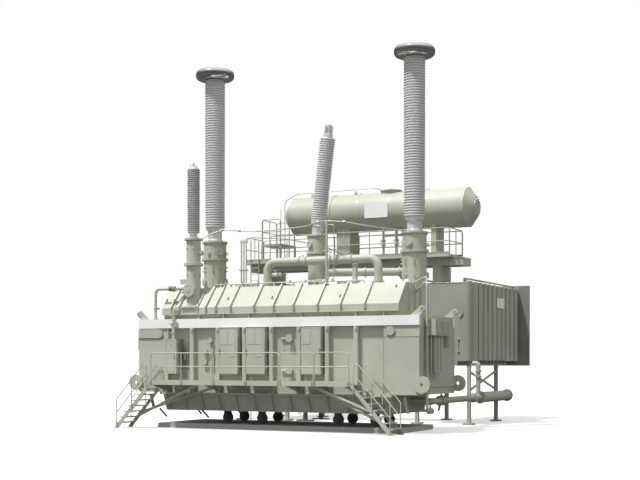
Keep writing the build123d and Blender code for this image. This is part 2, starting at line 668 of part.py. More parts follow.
def walkway_stays():
    seat = WALKWAY_DECK - 20
    front = WALKWAY_FRONT + 90
    back = STAIR_BACK - 90
    left_foot = stair_head(-1) - STAIR_RUN
    right_foot = stair_head(1) + STAIR_RUN
    runs = [
        ((left_foot + 4030, front, seat), (left_foot + 390, STAIR_BACK - 34, 400), -1),
        ((left_foot + 4730, back, seat), (left_foot + 730, STAIR_BACK - 34, 650), -1),
        ((right_foot - 3930, back, seat), (right_foot - 470, WALKWAY_FRONT + 34, 450), 1),
        ((right_foot - 3580, front + 200, seat), (right_foot - 810, WALKWAY_FRONT + 34, 830), 1),
    ]
    stays = []
    for start, end, side in runs:
        stay = bar(start, end, 50, 50) - walkway_deck() - stair_flight(side)
        stays.append(stay.solids().sort_by(SortBy.VOLUME)[-1])
    return stays


def stair_flight(side):
    head = stair_head(side)
    foot = head + side * STAIR_RUN
    rise = WALKWAY_DECK / STAIR_RISERS
    run = STAIR_RUN / STAIR_RISERS
    outline = [(head, TOE_BOTTOM - 60), (head, WALKWAY_DECK), (head + side * 60, WALKWAY_DECK),
               (foot + side * 60, 0), (foot - side * 180, 0)]
    face = Plane.XZ * make_face(Polyline(*outline, close=True))
    flight = Part()
    for y in (WALKWAY_FRONT, STAIR_BACK - 12):
        flight += Pos(0, y, 0) * extrude(face, -12)
    for i in range(1, STAIR_RISERS):
        x = head + side * run * i
        z = WALKWAY_DECK - rise * i
        low, high = sorted((x - side * 20, x + side * (run - 10)))
        flight += block(low, high, WALKWAY_FRONT, STAIR_BACK, z - 40, z)
    return flight


def stair_handrails(side):
    head = stair_head(side)
    low_x = head + side * (STAIR_RUN - 100)
    high_x = head + side * 130
    slope = WALKWAY_DECK / STAIR_RUN
    low_z = WALKWAY_DECK - slope * abs(low_x - head) + RAIL_HEIGHT
    high_z = WALKWAY_DECK - slope * abs(high_x - head) + RAIL_HEIGHT
    rails = []
    for y in (WALKWAY_FRONT - HANDRAIL_DIAMETER / 2, STAIR_BACK + HANDRAIL_DIAMETER / 2):
        corners = ((low_x, y, low_z), (high_x, y, high_z))
        rails.append(rail_frame(corners, RAIL_HEIGHT / 2, 1, RAIL_HEIGHT + 60))
    return rails


# Cabinets and fittings on the tank's front
def hinge_levels():
    return (CABINET_BOTTOM + 250, CABINET_TOP - 250)


def cabinet(left, hinge_side):
    shell = block(left, left + CABINET_WIDTH, CABINET_FRONT, -WALL_Y, CABINET_BOTTOM, CABINET_TOP)
    hollow = block(left + CABINET_WALL, left + CABINET_WIDTH - CABINET_WALL, CABINET_FRONT, -WALL_Y - CABINET_WALL,
                   CABINET_BOTTOM + CABINET_WALL, CABINET_TOP - CABINET_WALL)
    shell -= hollow
    edge = left + (CABINET_WIDTH if hinge_side > 0 else 0)
    axis = edge + hinge_side * HINGE_REACH
    ring = HINGE_KNUCKLE / 2
    for level in hinge_levels():
        for low in (level - 95, level + 55):
            x0, x1 = sorted((edge, axis + hinge_side * ring))
            shell += block(x0, x1, CABINET_FRONT + 6, CABINET_FRONT + 60, low, low + 40)
            shell += block(axis - 10, axis + 10, DOOR_FACE, CABINET_FRONT + 60, low, low + 40)
            shell += rod((axis, DOOR_FACE, low), (axis, DOOR_FACE, low + 40), HINGE_KNUCKLE)
        shell += rod((axis, DOOR_FACE, level - 95), (axis, DOOR_FACE, level + 95), HINGE_PIN)
    return shell


def cabinet_door(left, hinge_side):
    right = left + CABINET_WIDTH
    middle = (left + right) / 2
    door = block(left, right, DOOR_FACE, CABINET_FRONT - DOOR_GAP, CABINET_BOTTOM, CABINET_TOP)
    split = CABINET_TOP - 0.35 * CABINET_HEIGHT
    panels = [(left + 60, middle - 15, split, CABINET_TOP - 110)]
    if hinge_side > 0:
        panels.append((middle + 15, right - 90, split, CABINET_TOP - 110))
        panels.append((middle + 40, right - 90, split - 500, split - 40))
    for x0, x1, z0, z1 in panels:
        door += block(x0, x1, DOOR_FACE - 12, DOOR_FACE, z0, z1)
    x = middle - hinge_side * (CABINET_WIDTH / 2 - 35)
    level = (CABINET_BOTTOM + CABINET_TOP) / 2
    door += block(x - 20, x + 20, DOOR_FACE - 30, DOOR_FACE, level - 75, level + 75)
    edge = right if hinge_side > 0 else left
    axis = edge + hinge_side * HINGE_REACH
    for hinge in hinge_levels():
        x0, x1 = sorted((edge - hinge_side * 5, axis))
        door += block(x0, x1, DOOR_FACE, DOOR_FACE + 8, hinge - 50, hinge + 50)
        door += rod((axis, DOOR_FACE, hinge - 50), (axis, DOOR_FACE, hinge + 50), HINGE_KNUCKLE)
        bore = HINGE_PIN + HINGE_CLEARANCE
        door -= rod((axis, DOOR_FACE, hinge - 51), (axis, DOOR_FACE, hinge + 51), bore)
    return door


def control_box():
    left = 30 - HALF_TANK + END_PANEL
    right = left + CONTROL_BOX_WIDTH
    top = CABINET_BOTTOM + CONTROL_BOX_HEIGHT
    front = -FACE_Y - 250
    body = block(left, right, front, -WALL_Y, CABINET_BOTTOM, top)
    body -= block(left + 50, right - 50, front, front + 10, CABINET_BOTTOM + 60, top - 60)
    return body + block(left + 75, right - 75, front, front + 10, CABINET_BOTTOM + 85, top - 85)


def front_covers():
    covers = []
    for x, z in ((-2900, 3660), (-3150, 3200), (-2860, 3190), (-3170, 2750), (-2830, 2720)):
        neck = rod((x, -WALL_Y, z), (x, -WALL_Y - 130, z), 190)
        covers.append(neck + flange((x, -WALL_Y - 115, z), (0, 1, 0), 230, 30))
    stub_x = TERTIARY_X - 20
    for z in (CABINET_TOP - 410, CABINET_BOTTOM + 140):
        stub = rod((stub_x, -WALL_Y, z), (stub_x, -WALL_Y - 200, z), 200)
        covers.append(stub + flange((stub_x, -WALL_Y - 185, z), (0, 1, 0), 300, 30))
    face = 25 - PANEL_Y
    level = BELT_BOTTOM - END_PANEL_JOINT / 2
    right = HALF_TANK - 1180
    covers.append(rod((right, face, level), (right, face - 80, level), 350))
    left = 1010 - HALF_TANK
    boss = rod((left, face, level), (left, face - 70, level), 380)
    covers.append(boss + block(-HALF_TANK, left, face - 70, face, level - 190, level + 190))
    return covers


# Fittings on the tank's right end
def end_unit():
    end = HALF_TANK
    low = CABINET_BOTTOM + 100
    high = CABINET_TOP - 330
    unit = block(end, end + 420, -1300, 300, high, BELT_BOTTOM + 240)
    unit += block(end, end + 320, -1000, 0, low, low + 60)
    for y in (-850, -500, -150):
        unit += rod((end + 190, y, low), (end + 190, y, high), 200)
    box = block(end, end + 300, 340, 580, high - 470, high + 40)
    return [unit, box]


def drain_pipe():
    x = HALF_TANK + 110
    y = 390 - WALL_Y
    level = TROUGH_BOTTOM + 130
    points = [(HOOD_HALF - 50, 300, HOOD_TOP - 300), (x, y, HOOD_TOP - 50), (x, y, level), (x, -700, level),
              (TROUGH_HALF, -700, level)]
    pipe = bent_pipe(points, 110, 150)
    for run in (-1200, -950):
        pipe += flange((x, run, level), (0, 1, 0), 230, 40)
    pipe += rod((x, -1180, level), (x, -970, level), 160)
    pipe += rod((x, -1075, level), (x, -1075, level + 190), 90)
    for z in (LUG_LEVEL - 300, CABINET_TOP):
        pipe += flange((x, y, z), (0, 0, 1), 180, 50)
    pipe -= hood()
    return pipe.solids().sort_by(SortBy.VOLUME)[-1]


def bottom_oil_pipes():
    level = BOTTOM_PIPE_LEVEL
    run = PIPE_RUN_X
    header_start = COOLER_FRONT + 400
    header_end = header_start + HEADER_LENGTH
    riser = COOLER_FRONT + 70 + 100
    pipes = []
    for side in (-1, 1):
        main = [(TROUGH_HALF, 0, level), (run, 0, level), (run, header_start, level)]
        pipe = bent_pipe([(side * x, y, z) for x, y, z in main], BOTTOM_PIPE_DIAMETER, 200)
        pipe += rod((side * run, header_start, level), (side * run, header_end, level), HEADER_DIAMETER)
        for y in (header_start, header_end):
            pipe += flange((side * run, y, level), (0, 1, 0), HEADER_DIAMETER + 90, 50)
        for y in (900, 1250, COOLER_FRONT - 500):
            pipe += flange((side * run, y, level), (0, 1, 0), BOTTOM_PIPE_DIAMETER + 150, 50)
        pipe += rod((side * run, 900, level), (side * run, 1250, level), BOTTOM_PIPE_DIAMETER + 60)
        rise = [(run, riser, level), (run, riser, COOLER_BOTTOM - 100), (COOLER_OUTER + 30, riser, COOLER_BOTTOM - 100)]
        pipe += bent_pipe([(side * x, y, z) for x, y, z in rise], 200, 110)
        pipes.append(pipe)
    return pipes


# Cooler banks
def cooler_legs(side):
    top = COOLER_BOTTOM - COOLER_BEAM
    rows = (COOLER_FRONT + 100, COOLER_FRONT + 100 + COOLER_LEG_PITCH)
    half = COOLER_LEG / 2
    pad = 1.4 * COOLER_LEG
    frames = []
    for x in (COOLER_INNER + half, COOLER_OUTER - half - 70):
        frame = Part()
        for y in rows:
            frame += block(side * x - half, side * x + half, y, y + COOLER_LEG, 0, top)
            frame += block(side * x - pad, side * x + pad, y + half - pad, y + half + pad, 0, 60)
        high = top - 250
        low = top - 1110
        for z0, z1 in ((low, high), (high, low)):
            frame += bar((side * x, rows[0] + half, z0), (side * x, rows[1] + half, z1), 60, 90)
        frames.append(frame)
    return frames


def cooler_base(side):
    x0, x1 = sided(side, COOLER_INNER - 50, COOLER_OUTER + 30)
    front = COOLER_FRONT + 100
    back = COOLER_FRONT + COOLER_FRAME_LENGTH
    low = COOLER_BOTTOM - COOLER_BEAM
    frame = Part()
    bays = 5
    pitch = (back - front - COOLER_BEAM) / bays
    for i in range(bays + 1):
        y = front + i * pitch
        frame += block(x0, x1, y, y + COOLER_BEAM, low, COOLER_BOTTOM)
    for x in (x0, x1 - COOLER_BEAM):
        frame += block(x, x + COOLER_BEAM, front, back, low, COOLER_BOTTOM)
    return frame


def cooler_panels(side):
    outer = side * COOLER_OUTER
    x0, x1 = sided(side, COOLER_INNER, COOLER_OUTER)
    casing = block(x0, x1, COOLER_FRONT, COOLER_FRONT + COOLER_CASING, COOLER_BOTTOM, COOLER_TOP)
    corner = casing.edges().filter_by(Axis.Z).sort_by(lambda edge: edge.center().Y)[:2]
    corner = [edge for edge in corner if abs(edge.center().X - outer) < 1]
    casing = fillet(corner, COOLER_CASING * 0.6)
    a0, a1 = sided(side, COOLER_INNER, COOLER_OUTER - 620)
    casing += block(a0, a1, COOLER_FRONT, COOLER_FRONT + 100, COOLER_BOTTOM - COOLER_BEAM, COOLER_BOTTOM)
    r0, r1 = sided(side, COOLER_INNER, COOLER_OUTER + 520)
    casing += block(r0, r1, COOLER_BACK + 120, COOLER_BACK + 220, COOLER_BOTTOM - 220, COOLER_TOP + 220)
    for x in (COOLER_INNER + 300, COOLER_OUTER - 320):
        casing += block(side * x - 60, side * x + 60, COOLER_FRONT + 60, COOLER_FRONT + 180, COOLER_TOP, COOLER_TOP + 140)
        casing += block(side * x - 40, side * x + 40, COOLER_FRONT + 20, COOLER_BACK + 120, COOLER_TOP + 140, COOLER_TOP + 200)
    return [casing]


def radiators(side):
    x0, x1 = sided(side, COOLER_INNER, COOLER_OUTER)
    start = COOLER_FRONT + COOLER_CASING + RADIATOR_GAP / 6
    pitch = (COOLER_BACK - start) / RADIATORS
    plates = []
    for i in range(RADIATORS):
        y = start + i * pitch
        plate = block(x0, x1, y, y + pitch - RADIATOR_GAP, COOLER_BOTTOM, COOLER_TOP)
        plates.append(fillet(plate.edges().filter_by(Axis.Z), RADIATOR_GAP))
    return plates


# Conservator and its platform
def conservator():
    radius = CONSERVATOR_DIAMETER / 2
    length = CONSERVATOR_RIGHT - CONSERVATOR_LEFT
    disc = radius * 0.52
    ring = 2060
    profile = [
        (disc, -CONSERVATOR_CONE), (radius, 0), (radius, ring), (radius + 25, ring), (radius + 25, ring + 80),
        (radius, ring + 80), (radius, length), (disc, length + CONSERVATOR_CONE),
    ]
    vessel = Rot(0, 90, 0) * turned(profile)
    hatch = length * 0.565
    vessel += rod((hatch, 0, 0), (hatch, 0, radius + 50), 900)
    vessel += flange((hatch, 0, radius + 65), (0, 0, 1), 1000, 40)
    return Pos(CONSERVATOR_LEFT, CONSERVATOR_Y, CONSERVATOR_Z) * vessel


def conservator_columns():
    top = DECK_LEVEL - DECK_THICKNESS - GIRDER_HEIGHT
    back = CONSERVATOR_Y + 1100
    columns = []
    for side in (-1, 1):
        x0, x1 = sided(side, 4050, 4400)
        columns.append(block(x0, x1, COOLER_FRONT + 100, back, COOLER_TOP, top))
    return columns


def conservator_girders():
    high = DECK_LEVEL - DECK_THICKNESS
    low = high - GIRDER_HEIGHT
    rows = (COOLER_FRONT + 120, CONSERVATOR_Y + 600)
    left = DECK_LEFT
    right = DECK_RIGHT + 410
    frame = Part()
    web = 180
    for y in rows:
        frame += block(left, right, y, y + web, low, high)
        for lip in (low, high - 30):
            frame += block(left, right, y - 35, y + web + 35, lip, lip + 30)
    bays = 7
    pitch = (right - left - web) / bays
    for i in range(bays + 1):
        x = left + i * pitch
        frame += block(x, x + web, rows[0], rows[1] + web, low, high)
    return frame


def conservator_saddles():
    body = conservator()
    pieces = []
    for x0, x1 in ((-570, 90), (4050, 4290)):
        saddle = block(x0, x1, CONSERVATOR_Y - 500, CONSERVATOR_Y + 500, DECK_LEVEL, CONSERVATOR_Z - 500)
        saddle += block(x0 - 60, x1 + 60, CONSERVATOR_Y - 560, CONSERVATOR_Y + 560, DECK_LEVEL, DECK_LEVEL + 40)
        pieces.append(saddle - body)
    return pieces


def platform_deck():
    deck = block(DECK_LEFT, DECK_RIGHT, DECK_FRONT, DECK_BACK, DECK_LEVEL - DECK_THICKNESS, DECK_LEVEL)
    return chamfer(deck.edges().filter_by(Axis.Z), DECK_THICKNESS / 2)


def upper_platform():
    left = DECK_LEFT + 850
    right = left + 1050
    front = DECK_FRONT + 60
    back = DECK_BACK - 200
    deck = block(left, right, front, back, UPPER_LEVEL - 100, UPPER_LEVEL)
    for x in (left, right - 80):
        for y in (front, back - 80):
            deck += block(x, x + 80, y, y + 80, DECK_LEVEL, UPPER_LEVEL - 100)
    return deck


def deck_rail(start, end, level, posts):
    """A railing with bent ends between two places on a deck."""
    top = level + PLATFORM_RAIL
    return rail_frame(((*start, top), (*end, top)), PLATFORM_RAIL / 2, posts, PLATFORM_RAIL)


def platform_railings():
    front = DECK_FRONT + 30
    back = DECK_BACK - 30
    left = DECK_LEFT + 50
    right = DECK_RIGHT - 50
    return [
        deck_rail((left + 1300, front), (right, front), DECK_LEVEL, 6),
        deck_rail((left, back), (right, back), DECK_LEVEL, 7),
        deck_rail((right, front + 60), (right, back - 60), DECK_LEVEL, 1),
        deck_rail((left, front), (left, back - 60), DECK_LEVEL, 1),
    ]


def upper_railings():
    front = DECK_FRONT + 90
    back = DECK_BACK - 230
    left = DECK_LEFT + 880
    right = left + 970
    return [
        deck_rail((left, front), (right, front), UPPER_LEVEL, 0),
        deck_rail((left, back), (right, back), UPPER_LEVEL, 0),
        deck_rail((left, front + 60), (left, back - 60), UPPER_LEVEL, 1),
    ]


def ladder():
    y = DECK_FRONT - 40
    left = DECK_LEFT + 350
    right = left + 420
    top = DECK_LEVEL + 1000
    pitch = 300
    frame = rod((left, y, 0), (left, y, top), 50)
    frame += rod((right, y, 0), (right, y, top), 50)
    for i in range(1, int(DECK_LEVEL // pitch)):
        frame += rod((left, y, i * pitch), (right, y, i * pitch), 25)
    frame += block(left - 30, right + 30, y, DECK_FRONT, DECK_LEVEL - 100, DECK_LEVEL - 60)
    return frame


save("plinth", plinth())
save("rail_wheels", *rail_wheels())
save("bogie_frames", *bogie_frames())
save("tank_trough", tank_trough())
save("tank_main", tank_main())
save("tank_stiffeners", *tank_stiffeners())
save("tank_belt", *tank_belt())
save("haulage_lugs", *haulage_lugs())
save("lifting_lugs", *lifting_lugs())
save("hood", hood())
save("hood_ribs", *hood_ribs())
for place, side in (("left", -1), ("right", 1)):
    save(f"hv_turret_{place}", hv_turret(side))
    save(f"hv_bushing_{place}", hv_bushing(side))
    save(f"corona_shield_{place}", corona_shield(side))
    save(f"stair_{place}", stair_flight(side))
    save(f"stair_handrails_{place}", *stair_handrails(side))
    save(f"cooler_legs_{place}", *cooler_legs(side))
    save(f"cooler_base_{place}", cooler_base(side))
    save(f"cooler_panels_{place}", *cooler_panels(side))
    save(f"radiators_{place}", *radiators(side))
save("neutral_turret", neutral_turret())
save("neutral_bushing", neutral_bushing())
save("tertiary_turret", tertiary_turret())
save("tertiary_bushing", tertiary_bushing())
save("top_oil_pipes", *top_oil_pipes())
save("side_pipe", side_pipe())
save("riser_conduits", *riser_conduits())
save("walkway_deck", walkway_deck())
save("walkway_railing", *walkway_railing())
save("walkway_stays", *walkway_stays())
for place, left, hinge_side in zip(("left", "middle", "right"), CABINET_LEFTS, (1, 1, -1)):
    save(f"cabinet_{place}", cabinet(left, hinge_side))
    save(f"cabinet_door_{place}", cabinet_door(left, hinge_side))
save("control_box", control_box())
save("front_covers", *front_covers())
save("end_unit", *end_unit())
save("drain_pipe", drain_pipe())
save("bottom_oil_pipes", *bottom_oil_pipes())
save("conservator", conservator())
save("conservator_saddles", *conservator_saddles())
save("conservator_columns", *conservator_columns())
save("conservator_girders", conservator_girders())
save("platform_deck", platform_deck())
save("upper_platform", upper_platform())
save("platform_railings", *platform_railings())
save("upper_railings", *upper_railings())
save("ladder", ladder())
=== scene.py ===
"""Finishes, small fittings and stage of a power transformer on its rail wheels."""

import math

import bmesh
import bpy
from mathutils import Matrix, Vector


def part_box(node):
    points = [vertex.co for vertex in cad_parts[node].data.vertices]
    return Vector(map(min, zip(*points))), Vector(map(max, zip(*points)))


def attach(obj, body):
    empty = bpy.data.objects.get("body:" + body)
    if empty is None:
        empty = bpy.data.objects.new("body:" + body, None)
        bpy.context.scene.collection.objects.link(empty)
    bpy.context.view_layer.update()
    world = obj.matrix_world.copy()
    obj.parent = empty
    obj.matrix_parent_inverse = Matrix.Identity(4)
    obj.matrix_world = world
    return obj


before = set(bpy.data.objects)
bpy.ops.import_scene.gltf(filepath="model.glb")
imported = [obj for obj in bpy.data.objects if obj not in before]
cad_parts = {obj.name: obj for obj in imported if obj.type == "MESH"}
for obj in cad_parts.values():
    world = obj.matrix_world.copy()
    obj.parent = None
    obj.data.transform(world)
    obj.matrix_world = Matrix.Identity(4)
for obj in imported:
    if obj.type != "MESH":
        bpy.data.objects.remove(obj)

bl_info = {
    "name": "Power transformer",
    "version": (1, 0, 0),
    "blender": (4, 5, 0),
    "location": "View3D > Sidebar > Transformer",
    "description": "Dresses the transformer's frame with paint, sheds, bolts, valves and fittings",
    "category": "Object",
}

BODY = "transformer"
DOORS = ("cabinet_door_left", "cabinet_door_middle", "cabinet_door_right")


# Shader node groups


def new_group(name, inputs, outputs):
    """An empty shader group with typed sockets; each entry is (name, type, default)."""
    group = bpy.data.node_groups.new(name, "ShaderNodeTree")
    for label, kind, default in inputs:
        socket = group.interface.new_socket(label, in_out="INPUT", socket_type=kind)
        if default is not None:
            socket.default_value = default
    for label, kind in outputs:
        group.interface.new_socket(label, in_out="OUTPUT", socket_type=kind)
    return group


class Wiring:
    """Short calls for adding nodes to one tree and joining them."""

    def __init__(self, tree):
        self.tree = tree

    def add(self, kind, **settings):
        node = self.tree.nodes.new(kind)
        for key, value in settings.items():
            setattr(node, key, value)
        return node

    def join(self, source, target):
        self.tree.links.new(source, target)

    def feed(self, socket, value):
        """Sets a socket to a plain value, or joins another node's output to it."""
        if isinstance(value, (int, float, tuple)):
            socket.default_value = value
        else:
            self.join(value, socket)

    def math(self, operation, first, second):
        node = self.add("ShaderNodeMath", operation=operation)
        self.feed(node.inputs[0], first)
        self.feed(node.inputs[1], second)
        return node.outputs[0]

    def dot(self, first, second):
        node = self.add("ShaderNodeVectorMath", operation="DOT_PRODUCT")
        self.join(first, node.inputs[0])
        self.join(second, node.inputs[1])
        return node.outputs["Value"]

    def place(self):
        """The spot on a piece, in the frame's metres."""
        return self.add("ShaderNodeTexCoord").outputs["Object"]

    def noise(self, vector, scale, detail=3.0, roughness=0.5):
        node = self.add("ShaderNodeTexNoise")
        node.inputs["Scale"].default_value = scale
        node.inputs["Detail"].default_value = detail
        node.inputs["Roughness"].default_value = roughness
        self.join(vector, node.inputs["Vector"])
        return node.outputs["Fac"]

    def stretched(self, vector, scale):
        node = self.add("ShaderNodeMapping")
        node.inputs["Scale"].default_value = scale
        self.join(vector, node.inputs["Vector"])
        return node.outputs["Vector"]

    def ramp(self, factor, low, high):
        """Maps factor from low..high to 0..1, smooth at both ends."""
        node = self.add("ShaderNodeMapRange", interpolation_type="SMOOTHSTEP")
        node.inputs["From Min"].default_value = low
        node.inputs["From Max"].default_value = high
        self.join(factor, node.inputs["Value"])
        return node.outputs["Result"]

    def blend(self, factor, first, second):
        node = self.add("ShaderNodeMix", data_type="RGBA")
        self.feed(node.inputs[0], factor)
        self.feed(node.inputs[6], first)
        self.feed(node.inputs[7], second)
        return node.outputs[2]

    def bump(self, height, strength, distance):
        node = self.add("ShaderNodeBump")
        node.inputs["Distance"].default_value = distance
        self.feed(node.inputs["Strength"], strength)
        self.join(height, node.inputs["Height"])
        return node.outputs["Normal"]

    def put_out(self, **values):
        """Joins each value to the group's output of that name."""
        result = self.add("NodeGroupOutput")
        for name, value in values.items():
            self.join(value, result.inputs[name])


WHITE = (1.0, 1.0, 1.0, 1.0)
BLACK = (0.0, 0.0, 0.0, 1.0)
SURFACE = [("Colour", "NodeSocketColor"), ("Roughness", "NodeSocketFloat"), ("Normal", "NodeSocketVector")]


def edge_mask(wiring, radius):
    """One along worn edges and nothing on flat ground."""
    bevel = wiring.add("ShaderNodeBevel", samples=4)
    bevel.inputs["Radius"].default_value = radius
    flat = wiring.add("ShaderNodeNewGeometry").outputs["Normal"]
    return wiring.ramp(wiring.math("SUBTRACT", 1.0, wiring.dot(bevel.outputs["Normal"], flat)), 0.02, 0.3)


def coat_group():
    """Weathered coat of paint: colour drift, run-down dirt, rubbed edges, fine peel."""
    group = new_group(
        "Weathered coat",
        [
            ("Coat", "NodeSocketColor", (0.5, 0.5, 0.5, 1.0)),
            ("Dirt", "NodeSocketColor", (0.16, 0.15, 0.12, 1.0)),
            ("Dirt amount", "NodeSocketFloat", 0.25),
            ("Edge amount", "NodeSocketFloat", 0.35),
            ("Peel", "NodeSocketFloat", 0.06),
        ],
        SURFACE,
    )
    wiring = Wiring(group)
    given = wiring.add("NodeGroupInput").outputs
    place = wiring.place()
    drift = wiring.ramp(wiring.noise(place, 0.45, 2.0), 0.3, 0.7)
    lighter = wiring.blend(0.06, given["Coat"], WHITE)
    darker = wiring.blend(0.07, given["Coat"], BLACK)
    coat = wiring.blend(drift, darker, lighter)
    streaks = wiring.noise(wiring.stretched(place, (5.0, 5.0, 0.35)), 1.6, 5.0, 0.62)
    blotches = wiring.noise(place, 2.3, 6.0, 0.65)
    grime = wiring.math("MULTIPLY", wiring.ramp(streaks, 0.5, 0.82), wiring.ramp(blotches, 0.35, 0.75))
    grime = wiring.math("MULTIPLY", grime, given["Dirt amount"])
    dirty = wiring.blend(grime, coat, given["Dirt"])
    rubbed = wiring.blend(0.45, given["Coat"], WHITE)
    edge = wiring.math("MULTIPLY", edge_mask(wiring, 0.012), given["Edge amount"])
    wiring.put_out(
        Colour=wiring.blend(edge, dirty, rubbed),
        Roughness=wiring.math("ADD", 0.42, wiring.math("MULTIPLY", blotches, 0.22)),
        Normal=wiring.bump(wiring.noise(place, 90.0, 2.0), given["Peel"], 0.002),
    )
    return group


def bare_group():
    """Bare or polished metal: faint brushing, finger marks and tarnish."""
    group = new_group(
        "Bare metal",
        [
            ("Metal", "NodeSocketColor", (0.8, 0.8, 0.8, 1.0)),
            ("Smoothness", "NodeSocketFloat", 0.1),
            ("Brushing", "NodeSocketFloat", 0.1),
        ],
        SURFACE,
    )
    wiring = Wiring(group)
    given = wiring.add("NodeGroupInput").outputs
    place = wiring.place()
    tarnish = wiring.ramp(wiring.noise(place, 1.7, 4.0), 0.35, 0.75)
    tarnished = wiring.blend(0.12, given["Metal"], (0.3, 0.28, 0.24, 1.0))
    lines = wiring.noise(wiring.stretched(place, (4.0, 4.0, 120.0)), 1.0, 2.0)
    wiring.put_out(
        Colour=wiring.blend(tarnish, given["Metal"], tarnished),
        Roughness=wiring.math("ADD", given["Smoothness"], wiring.math("MULTIPLY", tarnish, 0.08)),
        Normal=wiring.bump(lines, given["Brushing"], 0.001),
    )
    return group


def bushing_group():
    """Silicone sheds with dusty tops, and bright metal below and above them along the bushing's axis."""
    group = new_group(
        "Bushing skin",
        [
            ("Rubber", "NodeSocketColor", (0.3, 0.3, 0.31, 1.0)),
            ("Dust", "NodeSocketColor", (0.55, 0.54, 0.52, 1.0)),
            ("Metal", "NodeSocketColor", (0.85, 0.86, 0.86, 1.0)),
            ("Foot", "NodeSocketVector", (0.0, 0.0, 0.0)),
            ("Axis", "NodeSocketVector", (0.0, 0.0, 1.0)),
            ("Neck end", "NodeSocketFloat", 0.5),
            ("Cap start", "NodeSocketFloat", 5.0),
        ],
        [*SURFACE, ("Metallic", "NodeSocketFloat")],
    )
    wiring = Wiring(group)
    given = wiring.add("NodeGroupInput").outputs
    place = wiring.place()
    reach = wiring.add("ShaderNodeVectorMath", operation="SUBTRACT")
    wiring.join(place, reach.inputs[0])
    wiring.join(given["Foot"], reach.inputs[1])
    along = wiring.dot(reach.outputs["Vector"], given["Axis"])
    neck = wiring.math("LESS_THAN", along, given["Neck end"])
    cap = wiring.math("GREATER_THAN", along, given["Cap start"])
    metal = wiring.math("MAXIMUM", neck, cap)
    upright = wiring.add("ShaderNodeSeparateXYZ")
    wiring.join(wiring.add("ShaderNodeNewGeometry").outputs["Normal"], upright.inputs[0])
    tops = wiring.ramp(upright.outputs["Z"], 0.1, 0.9)
    patches = wiring.ramp(wiring.noise(place, 3.0, 5.0), 0.3, 0.75)
    dusty = wiring.math("MULTIPLY", wiring.math("ADD", 0.2, wiring.math("MULTIPLY", tops, 0.5)), patches)
    rubber = wiring.blend(dusty, given["Rubber"], given["Dust"])
    tarnish = wiring.ramp(wiring.noise(place, 4.0, 4.0), 0.35, 0.75)
    tarnished = wiring.blend(0.1, given["Metal"], (0.4, 0.4, 0.4, 1.0))
    bright = wiring.blend(tarnish, given["Metal"], tarnished)
    dull = wiring.math("ADD", 0.5, wiring.math("MULTIPLY", patches, 0.25))
    shine = wiring.math("MULTIPLY", metal, wiring.math("SUBTRACT", dull, 0.34))
    wiring.put_out(
        Colour=wiring.blend(metal, rubber, bright),
        Roughness=wiring.math("SUBTRACT", dull, shine),
        Metallic=wiring.math("MULTIPLY", metal, 0.4),
        Normal=wiring.bump(wiring.noise(place, 40.0, 3.0), 0.08, 0.002),
    )
    return group


def concrete_group():
    """Cast slab: pores, trowel drift, pale dust in the hollows."""
    group = new_group("Cast slab", [("Cement", "NodeSocketColor", (0.1, 0.1, 0.1, 1.0))], SURFACE)
    wiring = Wiring(group)
    cement = wiring.add("NodeGroupInput").outputs["Cement"]
    place = wiring.place()
    drift = wiring.ramp(wiring.noise(place, 1.1, 6.0, 0.6), 0.3, 0.8)
    pores = wiring.noise(place, 60.0, 4.0, 0.7)
    dusty = wiring.blend(0.25, cement, (0.5, 0.49, 0.46, 1.0))
    wiring.put_out(
        Colour=wiring.blend(drift, cement, dusty),
        Roughness=wiring.math("ADD", 0.7, wiring.math("MULTIPLY", pores, 0.2)),
        Normal=wiring.bump(pores, 0.25, 0.004),
    )
    return group


# Materials


def finish_material(name, group, values, metallic=0.0):
    """One material: a Principled shader fed by a shared group with these input values."""
    material = bpy.data.materials.new(name)
    material.use_nodes = True
    wiring = Wiring(material.node_tree)
    shader = material.node_tree.nodes["Principled BSDF"]
    shader.inputs["Metallic"].default_value = metallic
    effect = wiring.add("ShaderNodeGroup")
    effect.node_tree = group
    for label, value in values.items():
        effect.inputs[label].default_value = value
    wiring.join(effect.outputs["Colour"], shader.inputs["Base Color"])
    wiring.join(effect.outputs["Roughness"], shader.inputs["Roughness"])
    wiring.join(effect.outputs["Normal"], shader.inputs["Normal"])
    if "Metallic" in effect.outputs:
        wiring.join(effect.outputs["Metallic"], shader.inputs["Metallic"])
    main_colour = next(iter(values.values()))
    material.diffuse_color = (*main_colour[:3], 1.0)


def tinted(colour, share=1.0):
    """A settings colour, darkened to a share of itself."""
    return (*[value * share for value in colour], 1.0)


